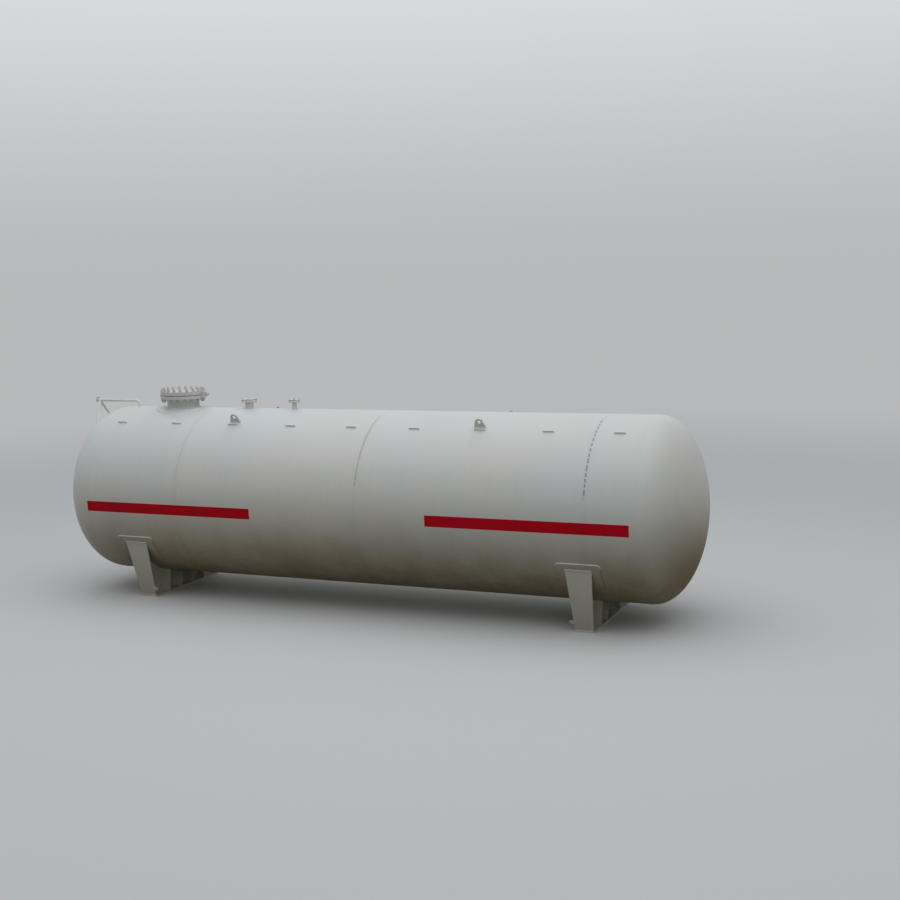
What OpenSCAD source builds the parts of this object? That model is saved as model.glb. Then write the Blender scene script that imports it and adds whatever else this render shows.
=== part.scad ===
// Horizontal pressure tank for liquefied gas, on two welded saddles.
// Millimetres. X runs along the tank, Z is up, the origin is on the floor under the middle of the tank.

/* [Shell] */
// Inside diameter of the shell and of both heads
inner_d = 2600; // [2400:20:2900]
// Wall of the rolled shell plates
shell_wall = 16; // [10:1:24]
// Length of the shell between the two head joints
shell_len = 8700; // [7800:50:9600]
// Length of the first rolled course, at the left head
first_course_len = 1650; // [1450:10:1850]
// Length of the last rolled course, at the right head
last_course_len = 650; // [500:10:1200]
// Place of the middle girth weld along the tank
middle_seam_x = 320; // [-400:10:900]

/* [Heads] */
// Wall of the pressed heads
head_wall = 16; // [10:1:24]
// Straight flange of a head, from the joint to the ellipse
head_flange = 40; // [25:5:60]
// Inside depth of a head's ellipse, a quarter of the inside diameter on the usual pressed head
head_depth = 650; // [560:10:760]

/* [Welds] */
// Width of a weld cap
bead_w = 24; // [14:1:32]
// Height of a weld cap over the plate
bead_h = 3; // [2:0.5:5]
// Distance that the ground girth welds keep from a wear plate
bead_gap = 10; // [4:1:20]
// Angle from the top to the long weld of the odd courses, on the back
odd_weld_angle = 50; // [45:1:60]
// Angle from the top to the long weld of the even courses, on the back
even_weld_angle = 74; // [66:1:80]

/* [Saddles] */
// Distance from a head joint in to a saddle's web
saddle_in = 780; // [600:10:1400]
// Height of the bottom of the shell over the floor
shell_lift = 280; // [220:5:360]
// Length of a base plate across the tank
base_len = 1780; // [1700:10:1900]
// Width of a base plate along the tank
base_w = 300; // [280:5:360]
// Thickness of a base plate
base_t = 20; // [14:1:30]
// Width of a wear plate along the tank
wear_w = 620; // [500:10:700]
// Thickness of a wear plate
wear_t = 12; // [8:1:16]
// Angle of shell that a wear plate wraps
wear_angle = 127; // [122:1:134]
// Corner radius of a wear plate
wear_corner_r = 50; // [20:5:80]
// Angle of shell between the outer edges of the end ribs
cradle_angle = 116; // [110:1:120]
// Thickness of the web
web_t = 12; // [8:1:20]
// Thickness of the end ribs
end_rib_t = 14; // [8:1:20]
// Thickness of the inner ribs
rib_t = 12; // [8:1:20]
// Width of the ribs at the base plate
rib_foot_w = 260; // [220:5:280]
// Width of the ribs at the wear plate
rib_head_w = 370; // [300:5:480]
// Distance from the middle of an end rib's foot to the end of the base plate
rib_inset = 22; // [15:1:40]
// Distance between neighbouring inner ribs
rib_pitch = 325; // [260:5:340]
// Leg of the corner cut from an inner rib beside the web
snipe = 30; // [15:1:45]
// Diameter of the anchor holes
anchor_d = 28; // [22:1:36]
// Distance between the anchor holes across the tank
anchor_y = 1360; // [1340:5:1390]
// Distance between the anchor holes along the tank
anchor_x = 170; // [140:5:190]
// Travel of the slots in the sliding saddle, between the centres of their ends
slot_travel = 32; // [10:1:40]

/* [Manway] */
// Distance from the first girth weld back to the manway
manway_back = 655; // [600:5:800]
// Outside diameter of the manway neck
manway_neck_d = 508; // [480:2:560]
// Wall of the manway neck
manway_neck_wall = 16; // [12:1:26]
// Height of the flange's sealing face over the top of the shell
manway_face_h = 200; // [180:1:240]
// Outside diameter of the manway flange and its cover
manway_flange_d = 715; // [705:1:760]
// Thickness of the manway flange
manway_flange_t = 48; // [40:1:60]
// Thickness of the manway cover
manway_cover_t = 54; // [40:1:70]
// Diameter of the manway bolt circle
manway_bolt_circle = 650; // [640:1:665]
// Number of manway bolts
manway_bolts = 20; // [16:4:24]
// Diameter of the manway bolt holes
manway_bolt_hole = 33; // [26:1:34]
// Diameter of the manway's raised sealing face
manway_face_d = 600; // [570:2:610]
// Diameter of the reinforcing pad round the manway
manway_pad_d = 840; // [740:10:900]
// Thickness of the reinforcing pad
manway_pad_t = 16; // [8:1:20]

/* [Manway hinge] */
// Distance from the flange's rim to the hinge pin
hinge_reach = 90; // [70:1:110]
// Height of the hinge pin over the flange's sealing face
hinge_rise = 18; // [10:1:24]
// Diameter of the hinge pin
hinge_pin_d = 24; // [16:1:30]
// Radius of the round ends of the hinge plates
hinge_eye_r = 30; // [26:1:34]
// Thickness of the hinge plates
hinge_plate_t = 16; // [10:1:20]
// Thickness of the tongue on the cover
hinge_tongue_t = 24; // [14:1:30]
// Side clearance between the tongue and the hinge plates
hinge_play = 4; // [1:0.5:8]
// Distance from a hinge piece's root to the edges of the rim that it stands on
hinge_margin = 4; // [2:1:8]
// How far the pin stands out of the hinge plates at each end
pin_out = 8; // [4:1:14]
// Diameter of the pin's head
pin_head_d = 36; // [32:1:44]
// Thickness of the pin's head
pin_head_t = 8; // [4:1:12]

/* [Safety valve nozzle] */
// Distance from the first girth weld on to the safety valve nozzle
valve_nozzle_on = 572; // [400:2:800]
// Outside diameter of its pipe
valve_pipe_d = 133; // [114:1:146]
// Wall of its pipe
valve_pipe_wall = 8; // [6:1:14]
// Outside diameter of its flange and blind cover
valve_flange_d = 250; // [240:1:275]
// Thickness of its flange
valve_flange_t = 22; // [18:1:30]
// Diameter of its raised sealing face
valve_face_d = 184; // [160:2:188]
// Diameter of its bolt circle
valve_bolt_circle = 210; // [205:1:216]
// Diameter of its bolt holes
valve_bolt_hole = 18; // [14:1:22]

/* [Vapour nozzle] */
// Distance from the first girth weld on to the vapour nozzle
vapour_nozzle_on = 1379; // [1200:1:1600]
// Outside diameter of its pipe
vapour_pipe_d = 76; // [60:1:89]
// Wall of its pipe
vapour_pipe_wall = 6; // [4:1:10]
// Outside diameter of its flange and blind cover
vapour_flange_d = 185; // [180:1:205]
// Thickness of its flange
vapour_flange_t = 20; // [16:1:28]
// Diameter of its raised sealing face
vapour_face_d = 122; // [104:2:126]
// Diameter of its bolt circle
vapour_bolt_circle = 145; // [142:1:152]
// Diameter of its bolt holes
vapour_bolt_hole = 18; // [14:1:22]

/* [Both nozzles] */
// Height of the nozzles' sealing faces over the top of the shell
nozzle_face_h = 138; // [130:1:200]
// Number of bolt holes of each nozzle
nozzle_bolts = 8; // [8:4:12]
// Thickness of the thin blind covers that close both nozzles until their pipes are fitted
nozzle_cover_t = 6; // [4:1:20]

/* [Flange faces] */
// Height of the raised sealing faces
raised_h = 3; // [1:0.5:5]
// Thickness of the gaskets
gasket_t = 4; // [2:0.5:6]
// How much wider than its pipe's bore a gasket is inside
gasket_bore_gap = 6; // [2:1:12]
// How much smaller than its raised face a gasket is outside
gasket_rim_gap = 6; // [2:1:12]
// Length of the tapered hub under a flange
hub_len = 26; // [16:1:40]
// How far a hub widens under its flange, in walls of its pipe
hub_walls = 0.9; // [0.4:0.1:1.2]

/* [Lifting lugs] */
// Distance between the left and the right pair of lifting lugs
lug_pitch = 4000; // [3800:20:4200]
// Angle from the top to a lifting lug
lug_angle = 28; // [26:0.5:28.5]
// Width of a lifting lug at its foot
lug_w = 170; // [140:5:200]
// Height of a lifting lug's straight foot
lug_foot_h = 20; // [5:5:30]
// Height of the eye's centre over the shell
lug_eye_h = 92; // [80:1:110]
// Radius of the round top of a lifting lug
lug_top_r = 58; // [50:1:64]
// Diameter of the eye
lug_eye_d = 60; // [40:1:70]
// Thickness of a lifting lug
lug_t = 25; // [16:1:30]

/* [Pipe cleats] */
// Distance from a head joint in to the first cleat of a row
cleat_in = 310; // [150:5:600]
// Number of cleats in a row
cleat_count = 9; // [5:2:9]
// Angle from the top to a row of cleats
cleat_angle = 31.2; // [30.5:0.1:34]
// Length of a cleat along the tank
cleat_len = 165; // [120:5:200]
// Height of a cleat over the shell
cleat_h = 25; // [20:1:50]
// Thickness of a cleat
cleat_t = 8; // [5:1:12]
// Corner radius of a cleat
cleat_corner_r = 8; // [4:1:12]

/* [Ladder frame] */
// Outside diameter of the frame's pipes
pipe_d = 42; // [34:1:48]
// Wall of the frame's pipes
pipe_wall = 4; // [2:0.5:6]
// Height of the rail's centre over the top of the shell
rail_h = 96; // [90:1:120]
// Distance from the left head joint in to the rail's foot
rail_foot_in = 150; // [110:5:220]
// Distance from the left head joint out to the rail's end
rail_out = 680; // [600:5:690]
// Bend radius of the rail at its centre
rail_bend_r = 72; // [60:1:84]
// Distance of a strut's foot from the middle plane of the tank
strut_foot_y = 310; // [250:5:380]
// Drop of a strut's foot below the top of the shell
strut_foot_drop = 396; // [350:2:420]
// Distance from the rail's end in to the struts' top
strut_in = 45; // [24:1:60]
// Length of the stop plate on the rail's end
stop_len = 80; // [70:1:110]
// Width of the stop plate
stop_w = 80; // [50:1:100]
// Thickness of the stop plate
stop_t = 10; // [6:1:12]
// Slope of the stop plate against the rail
stop_slope = 70; // [60:1:85]
// How far the stop plate's centre is above the rail's centre
stop_rise = 14; // [0:1:24]

/* [Earthing lugs] */
// Length of an earthing lug
earth_len = 95; // [80:1:120]
// Height of an earthing lug
earth_h = 50; // [40:1:60]
// Thickness of an earthing lug
earth_t = 6; // [4:0.5:8]
// Length of an earthing lug that lies on the end rib
earth_lap = 35; // [20:1:50]
// Height of an earthing lug's centre over the base plate, up the end rib
earth_up = 130; // [90:1:180]
// Diameter of the earthing hole
earth_hole_d = 14; // [9:1:16]

/* [Fit] */
// Clearance between curved pieces that are set into each other
fit_gap = 0.3; // [0.1:0.1:0.6]

/* [Hidden] */

// Segments of a circle: most pieces, small rounds, the shell, cuts on a head, cuts with thin tips
$fn = 96;
small_fn = 48;
shell_fn = 180;
ball_fn = 360;
tip_fn = 720;

// How far a cut runs past what it cuts
over = 1;
// How deep pieces are drawn into what carries them before its shape is cut away from them
sink = 10;
rib_sink = 200;
strut_sink = 60;
// How far a wear plate's corner arcs overshoot its edges, so that arc and edge cross
corner_over = 1.5;

shell_paint = [0.86, 0.85, 0.80];
saddle_paint = [0.78, 0.80, 0.80];
steel = [0.55, 0.56, 0.57];
gasket_grey = [0.25, 0.26, 0.28];

// The shell's radii, its ends and its axis
inner_r = inner_d / 2;
shell_r = inner_r + shell_wall;
half_len = shell_len / 2;
axis_z = shell_lift + shell_r;
top_z = axis_z + shell_r;
first_seam_x = -half_len + first_course_len;
seams = [-half_len, first_seam_x, middle_seam_x, half_len - last_course_len, half_len];

// The outside of a head: half of its width, and its depth beyond the straight flange
head_outer_r = inner_r + head_wall;
head_outer_depth = head_depth + head_wall;

// The saddle: places of its ribs and of the line where an end rib meets the wear plate
wear_r = shell_r + wear_t;
cradle_half = cradle_angle / 2;
rib_foot_y = base_len / 2 - rib_inset;
rib_head_y = wear_r * sin(cradle_half);
rib_head_z = axis_z - wear_r * cos(cradle_half);
rib_lean = atan2(rib_head_y - rib_foot_y, rib_head_z - base_t);
rib_slope_len = norm([rib_head_y - rib_foot_y, rib_head_z - base_t]);
inner_rib_places = [-1.5 * rib_pitch, -0.5 * rib_pitch, 0.5 * rib_pitch, 1.5 * rib_pitch];
saddle_x = half_len - saddle_in;

// The cap of a weld is a lens: an arc over its chord
bead_arc_r = (pow(bead_w / 2, 2) + pow(bead_h, 2)) / (2 * bead_h);

// The manway, its hinge and the nozzles: places along the tank and heights of the sealing faces
manway_x = first_seam_x - manway_back;
manway_face_z = top_z + manway_face_h;
valve_nozzle_x = first_seam_x + valve_nozzle_on;
vapour_nozzle_x = first_seam_x + vapour_nozzle_on;
nozzle_face_z = top_z + nozzle_face_h;
manway_neck_r = manway_neck_d / 2;
hinge_x = manway_x + manway_flange_d / 2 + hinge_reach;
hinge_z = manway_face_z + hinge_rise;
hinge_plate_y = hinge_tongue_t / 2 + hinge_play + hinge_plate_t / 2;

// The ladder frame: the rail's line, the struts' ends and the stop plate
rail_z = top_z + rail_h;
rail_end_x = -half_len - rail_out;
rail_foot_x = -half_len + rail_foot_in;
strut_foot_z = shell_r - strut_foot_drop;
strut_foot_share = norm([strut_foot_y, strut_foot_z]) / head_outer_r;
strut_foot_x = -half_len - head_flange - head_outer_depth * sqrt(1 - pow(strut_foot_share, 2));
strut_top_x = rail_end_x + strut_in;

// A length that is surely longer than what it cuts
far = 2 * inner_d + shell_len;

// Everything below a height
module below(z) {
    translate([-far / 2, -far / 2, z - far]) cube([far, far, far]);
}

// Lays a shape that was drawn along Z along the tank's axis
module on_axis(x = 0) {
    translate([x, 0, axis_z]) rotate([0, 90, 0]) children();
}

// Turns a shape that stands on top of the tank round to an angle from the top, + to the back
module round_shell(angle) {
    translate([0, 0, axis_z]) rotate([-angle, 0, 0]) translate([0, 0, -axis_z]) children();
}

module rod(length, d) {
    cylinder(h = length, d = d);
}

module tube_along_x(from, to, r_in, r_out) {
    on_axis(from) difference() {
        cylinder(h = to - from, r = r_out, $fn = shell_fn);
        translate([0, 0, -over]) cylinder(h = to - from + 2 * over, r = r_in, $fn = shell_fn);
    }
}

// Space inside the shell, for cutting what is set into it
module shell_bore() {
    on_axis(-half_len) cylinder(h = shell_len, r = inner_r, $fn = shell_fn);
}

// All that the shell's outside holds, for cutting what stands on it
module shell_body() {
    on_axis(-half_len) cylinder(h = shell_len, r = shell_r, $fn = shell_fn);
}

// Half the head's outline, filled: a quarter of an ellipse over its straight flange
module head_outline(half_width, depth, skirt, segments) {
    scale([1, depth / half_width]) intersection() {
        circle(r = half_width, $fn = segments);
        square([far, far]);
    }
    translate([0, -skirt]) square([half_width, skirt]);
}

module head() {
    on_axis(half_len + head_flange) rotate_extrude($fn = shell_fn) difference() {
        head_outline(head_outer_r, head_outer_depth, head_flange, shell_fn);
        head_outline(inner_r, head_depth, head_flange + over, shell_fn);
    }
}

// All that a head's outside holds, on the left, for cutting what stands on it
module left_head_body() {
    mirror([1, 0, 0]) on_axis(half_len + head_flange) rotate_extrude($fn = ball_fn)
        head_outline(head_outer_r, head_outer_depth, head_flange, ball_fn);
}

module left_head() {
    color(shell_paint) mirror([1, 0, 0]) head();
}

module right_head() {
    color(shell_paint) head();
}

// One rolled course between two seams
module course(i) {
    tube_along_x(seams[i], seams[i + 1], inner_r, shell_r);
}

// Hole through the shell for a neck of the given diameter
module neck_hole(x, d) {
    translate([x, 0, axis_z]) rod(shell_r + sink, d + 2 * fit_gap);
}

module shell_course_1() {
    color(shell_paint) difference() {
        course(0);
        neck_hole(manway_x, manway_neck_d);
    }
}

module shell_course_2() {
    color(shell_paint) difference() {
        course(1);
        neck_hole(valve_nozzle_x, valve_pipe_d);
        neck_hole(vapour_nozzle_x, vapour_pipe_d);
    }
}

module shell_course_3() {
    color(shell_paint) course(2);
}

module shell_course_4() {
    color(shell_paint) course(3);
}

// Cross-section of a weld cap on a plate whose surface is at y = 0
module bead_section() {
    intersection() {
        translate([0, bead_h - bead_arc_r]) circle(r = bead_arc_r);
        translate([-bead_w, 0]) square([2 * bead_w, 2 * bead_h]);
    }
}

// Everything between the planes of a wear plate's two ends, round the bottom of the shell
module bottom_wedge(half_angle, x, width) {
    reach = 2 * shell_r;
    translate([x - width / 2, 0, axis_z]) rotate([90, 0, 90]) linear_extrude(width)
        polygon([[0, 0],
                 [reach * sin(half_angle), -reach * cos(half_angle)],
                 [reach * sin(half_angle), -2 * reach],
                 [-reach * sin(half_angle), -2 * reach],
                 [-reach * sin(half_angle), -reach * cos(half_angle)]]);
}

// Girth weld caps, ground flush where a wear plate lies over them
module girth_welds() {
    color(shell_paint) difference() {
        for (x = seams)
            on_axis(x) rotate_extrude($fn = shell_fn) translate([shell_r, 0]) rotate(-90)
                bead_section();
        for (side = [-1, 1])
            bottom_wedge(wear_angle / 2 + asin(bead_gap / shell_r), side * saddle_x,
                wear_w + 2 * bead_gap);
    }
}

module long_welds() {
    color(shell_paint) for (i = [0:3])
        round_shell(i % 2 == 0 ? odd_weld_angle : even_weld_angle)
            translate([seams[i] + bead_w / 2 + fit_gap, 0, top_z])
                rotate([90, 0, 90]) linear_extrude(seams[i + 1] - seams[i] - bead_w - 2 * fit_gap)
                    bead_section();
}

// Neck: a pipe whose foot follows the inside of the shell
module neck(x, d, wall, face_z, flange_t) {
    difference() {
        translate([x, 0, axis_z]) rod(face_z - raised_h - flange_t - hub_len - axis_z, d);
        translate([x, 0, axis_z - over]) rod(2 * shell_r, d - 2 * wall);
        shell_bore();
    }
}

// Bolt holes, straddling the tank's long centre line
module bolt_holes(x, circle_d, count, hole_d, z, length) {
    for (i = [0:count - 1])
        translate([x, 0, z]) rotate([0, 0, (i + 0.5) * 360 / count]) translate([circle_d / 2, 0, 0])
            rod(length, hole_d);
}

// Welding-neck flange: hub, plate and raised face in one forging
module flange(x, pipe_r, wall, d, t, face_d, circle_d, count, hole_d, face_z) {
    difference() {
        union() {
            translate([x, 0, face_z - raised_h - t - hub_len])
                cylinder(h = hub_len, r1 = pipe_r, r2 = pipe_r + hub_walls * wall);
            translate([x, 0, face_z - raised_h - t]) rod(t, d);
            translate([x, 0, face_z - raised_h]) rod(raised_h, face_d);
        }
        translate([x, 0, face_z - raised_h - t - hub_len - over])
            rod(t + hub_len + raised_h + 2 * over, 2 * (pipe_r - wall));
        bolt_holes(x, circle_d, count, hole_d, face_z - raised_h - t - over,
            t + raised_h + 2 * over);
    }
}

// Thin blind cover: a plain round plate on the gasket
module thin_cover(x, d, circle_d, hole_d) {
    difference() {
        translate([x, 0, nozzle_face_z + gasket_t]) rod(nozzle_cover_t, d);
        bolt_holes(x, circle_d, nozzle_bolts, hole_d, nozzle_face_z,
            gasket_t + nozzle_cover_t + over);
    }
}

module manway_pad() {
    color(shell_paint) intersection() {
        tube_along_x(seams[0], seams[1], shell_r, shell_r + manway_pad_t);
        translate([manway_x, 0, axis_z]) difference() {
            rod(2 * shell_r, manway_pad_d);
            translate([0, 0, -over]) rod(2 * shell_r + 2 * over, manway_neck_d + 2 * fit_gap);
        }
    }
}

module manway_neck() {
    color(shell_paint) neck(manway_x, manway_neck_d, manway_neck_wall, manway_face_z, manway_flange_t);
}

module manway_flange() {
    color(steel) flange(manway_x, manway_neck_r, manway_neck_wall, manway_flange_d, manway_flange_t,
        manway_face_d, manway_bolt_circle, manway_bolts, manway_bolt_hole, manway_face_z);
}

// Thick plate with its raised face below
module manway_cover() {
    color(steel) difference() {
        translate([manway_x, 0, manway_face_z + gasket_t]) {
            rod(raised_h, manway_face_d);
            translate([0, 0, raised_h]) rod(manway_cover_t, manway_flange_d);
        }
        bolt_holes(manway_x, manway_bolt_circle, manway_bolts, manway_bolt_hole, manway_face_z,
            gasket_t + raised_h + manway_cover_t + over);
    }
}

// Outline of a hinge plate seen from the side: a bar to the rim that ends in an eye
module hinge_outline(rim_low, rim_high) {
    difference() {
        hull() {
            translate([hinge_x, hinge_z]) circle(r = hinge_eye_r, $fn = small_fn);
            translate([hinge_x - hinge_reach - sink, rim_low]) square([sink, rim_high - rim_low]);
        }
        translate([hinge_x, hinge_z]) circle(d = hinge_pin_d + 2 * fit_gap);
    }
}

// Two plates on the rim of the flange, with the pin's holes
module manway_hinge_plates() {
    flange_top = manway_face_z - raised_h;
    color(steel) difference() {
        for (side = [-1, 1])
            translate([0, side * hinge_plate_y + hinge_plate_t / 2, 0]) rotate([90, 0, 0])
                linear_extrude(hinge_plate_t)
                    hinge_outline(flange_top - manway_flange_t + hinge_margin,
                        flange_top - hinge_margin);
        translate([manway_x, 0, flange_top - 2 * manway_flange_t])
            rod(3 * manway_flange_t, manway_flange_d);
        translate([manway_x, 0, flange_top]) rod(2 * manway_cover_t, manway_flange_d + 2 * raised_h);
    }
}

// One tongue on the rim of the cover, between the two plates
module manway_hinge_tongue() {
    cover_low = manway_face_z + gasket_t + raised_h;
    color(steel) difference() {
        translate([0, hinge_tongue_t / 2, 0]) rotate([90, 0, 0]) linear_extrude(hinge_tongue_t)
            hinge_outline(cover_low + hinge_margin, cover_low + manway_cover_t - hinge_margin);
        translate([manway_x, 0, cover_low]) rod(2 * manway_cover_t, manway_flange_d);
        translate([manway_x, 0, cover_low - 2 * manway_flange_t])
            rod(2 * manway_flange_t, manway_flange_d + 2 * raised_h);
    }
}

module manway_hinge_pin() {
    pin_len = hinge_tongue_t + 2 * hinge_play + 2 * hinge_plate_t + 2 * pin_out;
    color(steel) translate([hinge_x, 0, hinge_z]) rotate([90, 0, 0]) {
        translate([0, 0, -pin_len / 2]) rod(pin_len, hinge_pin_d);
        translate([0, 0, -pin_len / 2 - pin_head_t]) rod(pin_head_t, pin_head_d);
    }
}

module safety_valve_neck() {
    color(shell_paint)
        neck(valve_nozzle_x, valve_pipe_d, valve_pipe_wall, nozzle_face_z, valve_flange_t);
}

module safety_valve_flange() {
    color(steel) flange(valve_nozzle_x, valve_pipe_d / 2, valve_pipe_wall, valve_flange_d,
        valve_flange_t, valve_face_d, valve_bolt_circle, nozzle_bolts, valve_bolt_hole, nozzle_face_z);
}

module safety_valve_blind() {
    color(steel) thin_cover(valve_nozzle_x, valve_flange_d, valve_bolt_circle, valve_bolt_hole);
}

module vapour_neck() {
    color(shell_paint)
        neck(vapour_nozzle_x, vapour_pipe_d, vapour_pipe_wall, nozzle_face_z, vapour_flange_t);
}

module vapour_flange() {
    color(steel) flange(vapour_nozzle_x, vapour_pipe_d / 2, vapour_pipe_wall, vapour_flange_d,
        vapour_flange_t, vapour_face_d, vapour_bolt_circle, nozzle_bolts, vapour_bolt_hole,
        nozzle_face_z);
}

module vapour_blind() {
    color(steel) thin_cover(vapour_nozzle_x, vapour_flange_d, vapour_bolt_circle, vapour_bolt_hole);
}

// Flat ring between two raised faces
module gasket(x, pipe_d, pipe_wall, face_d, z) {
    translate([x, 0, z]) difference() {
        rod(gasket_t, face_d - gasket_rim_gap);
        translate([0, 0, -over]) rod(gasket_t + 2 * over, pipe_d - 2 * pipe_wall + gasket_bore_gap);
    }
}

module flange_gaskets() {
    color(gasket_grey) {
        gasket(manway_x, manway_neck_d, manway_neck_wall, manway_face_d, manway_face_z);
        gasket(valve_nozzle_x, valve_pipe_d, valve_pipe_wall, valve_face_d, nozzle_face_z);
        gasket(vapour_nozzle_x, vapour_pipe_d, vapour_pipe_wall, vapour_face_d, nozzle_face_z);
    }
}

// Outline of a lifting lug: a straight foot that narrows to a round top with the eye
module lug_outline() {
    difference() {
        hull() {
            translate([0, lug_eye_h]) circle(r = lug_top_r, $fn = small_fn);
            translate([-lug_w / 2, -sink]) square([lug_w, lug_foot_h + sink]);
        }
        translate([0, lug_eye_h]) circle(d = lug_eye_d);
    }
}

module lifting_lugs() {
    color(shell_paint) difference() {
        for (end = [-1, 1], side = [-1, 1])
            round_shell(side * lug_angle)
                translate([end * lug_pitch / 2, lug_t / 2, top_z]) rotate([90, 0, 0])
                    linear_extrude(lug_t) lug_outline();
        shell_body();
    }
}

// Outline of a cleat: a flat bar on edge with its outer corners rounded
module cleat_outline() {
    half = cleat_len / 2;
    translate([-half, -sink]) square([cleat_len, cleat_h + sink - cleat_corner_r]);
    translate([-half + cleat_corner_r, -sink])
        square([cleat_len - 2 * cleat_corner_r, cleat_h + sink]);
    for (side = [-1, 1])
        translate([side * (half - cleat_corner_r), cleat_h - cleat_corner_r])
            circle(r = cleat_corner_r, $fn = small_fn);
}

// A row of cleats that carries a sprinkler pipe once the tank is in place
module cleat_row(side) {
    cleat_pitch = (shell_len - 2 * cleat_in) / (cleat_count - 1);
    color(shell_paint) difference() {
        for (i = [0:cleat_count - 1])
            round_shell(side * cleat_angle)
                translate([i * cleat_pitch - half_len + cleat_in, cleat_t / 2, top_z])
                    rotate([90, 0, 0]) linear_extrude(cleat_t) cleat_outline();
        shell_body();
    }
}

module front_cleats() {
    cleat_row(-1);
}

module back_cleats() {
    cleat_row(1);
}

// Plane of the stop plate: everything on its outer side
module beyond_stop() {
    translate([rail_end_x, 0, rail_z]) rotate([0, 90 - stop_slope, 0])
        translate([-far, -far / 2, -far / 2]) cube([far, far, far]);
}

// The rail's centre line as a solid: a straight run, a bend and a foot on the shell
module rail_run(d, extra) {
    bend_x = rail_foot_x - rail_bend_r;
    translate([rail_end_x - pipe_d, 0, rail_z]) rotate([0, 90, 0])
        rod(bend_x - rail_end_x + pipe_d, d);
    translate([bend_x, 0, rail_z - rail_bend_r]) rotate([90, 0, 0])
        rotate_extrude(angle = 90) translate([rail_bend_r, 0]) circle(d = d, $fn = small_fn);
    translate([rail_foot_x, 0, axis_z + inner_r - extra])
        rod(rail_z - rail_bend_r - axis_z - inner_r + extra, d);
}

module ladder_rail() {
    color(shell_paint) difference() {
        rail_run(pipe_d, 0);
        rail_run(pipe_d - 2 * pipe_wall, over);
        beyond_stop();
        shell_body();
    }
}

// A strut from under the rail down to the head, mitred on the middle plane
module strut_run(side, d, extra) {
    top = [strut_top_x, 0, rail_z];
    foot = [strut_foot_x, side * strut_foot_y, axis_z + strut_foot_z];
    along = foot - top;
    length = norm(along);
    bearing = atan2(along[1], along[0]);
    tilt = acos(along[2] / length);
    translate(top) rotate([0, tilt, bearing]) translate([0, 0, -extra])
        rod(length + strut_sink + 2 * extra, d);
}

module strut(side) {
    color(shell_paint) difference() {
        strut_run(side, pipe_d, 0);
        strut_run(side, pipe_d - 2 * pipe_wall, over);
        left_head_body();
        translate([rail_end_x - far / 2, 0, rail_z]) rotate([0, 90, 0]) rod(far, pipe_d);
        translate([rail_end_x - pipe_d, -far / 2, rail_z]) cube([far, far, far]);
        translate([-far, side > 0 ? -far + fit_gap / 2 : -fit_gap / 2, 0]) cube([2 * far, far, far]);
        beyond_stop();
    }
}

module front_ladder_strut() {
    strut(-1);
}

module back_ladder_strut() {
    strut(1);
}

// Sloping plate that closes the rail's outer end and stops the ladder's hooks
module ladder_stop() {
    color(shell_paint) translate([rail_end_x, 0, rail_z]) rotate([0, 90 - stop_slope, 0])
        translate([-stop_t, -stop_w / 2, -stop_len / 2 + stop_rise])
            cube([stop_t, stop_w, stop_len]);
}

// What rounds one corner of a wear plate: a block beside the corner's arc
module corner_cut(x_side, y_side, x) {
    inset = wear_corner_r - corner_over;
    turn = wear_angle / 2 - asin(inset / shell_r);
    block = 2 * wear_corner_r;
    height = wear_t + 2 * sink;
    translate([x, 0, axis_z]) rotate([-y_side * (180 - turn), 0, 0])
        translate([x_side * (wear_w / 2 - inset), 0, shell_r - sink]) difference() {
            translate([x_side > 0 ? 0 : -block, y_side > 0 ? -block : 0, 0])
                cube([block, block, height]);
            translate([0, 0, -over]) cylinder(h = height + 2 * over, r = wear_corner_r);
        }
}

// Curved plate between the shell and the saddle
module wear_plate(x) {
    color(saddle_paint) difference() {
        intersection() {
            tube_along_x(x - wear_w / 2, x + wear_w / 2, shell_r, wear_r);
            bottom_wedge(wear_angle / 2, x, wear_w + 2 * over);
        }
        for (x_side = [-1, 1], y_side = [-1, 1])
            corner_cut(x_side, y_side, x);
    }
}

// What the wear plate's outside takes up, for cutting the pieces under it
module wear_body(x) {
    on_axis(x - wear_w) cylinder(h = 2 * wear_w, r = wear_r, $fn = tip_fn);
}

// Y of an end rib's middle at a height
function rib_y(z) = rib_foot_y + (z - base_t) * tan(rib_lean);

// Upright plate in the middle of the saddle, cut to the shell's curve and to the leaning end ribs
module saddle_web(x) {
    half_t = end_rib_t / 2 / cos(rib_lean);
    color(saddle_paint) translate([x - web_t / 2, 0, 0]) rotate([90, 0, 90]) linear_extrude(web_t)
        difference() {
            polygon([[-rib_y(base_t) + half_t, base_t],
                     [rib_y(base_t) - half_t, base_t],
                     [rib_y(rib_head_z) - half_t, rib_head_z],
                     [-rib_y(rib_head_z) + half_t, rib_head_z]]);
            translate([0, axis_z]) circle(r = wear_r, $fn = tip_fn);
        }
}

// Outline of a rib seen along the tank's width: it widens from its foot to the wear plate
module rib_taper(height) {
    slope = (rib_head_w - rib_foot_w) / 2 / rib_slope_len;
    polygon([[-rib_foot_w / 2, 0],
             [rib_foot_w / 2, 0],
             [rib_foot_w / 2 + slope * height, height],
             [-rib_foot_w / 2 - slope * height, height]]);
}

// End ribs: leaning plates that close both ends of the web
module end_ribs(x) {
    color(saddle_paint) difference() {
        for (side = [-1, 1])
            translate([x, side * rib_foot_y, base_t]) rotate([-side * rib_lean, 0, 0])
                translate([0, end_rib_t / 2, -end_rib_t]) rotate([90, 0, 0])
                    linear_extrude(end_rib_t) rib_taper(rib_slope_len + rib_sink);
        below(base_t);
        wear_body(x);
    }
}

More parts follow.
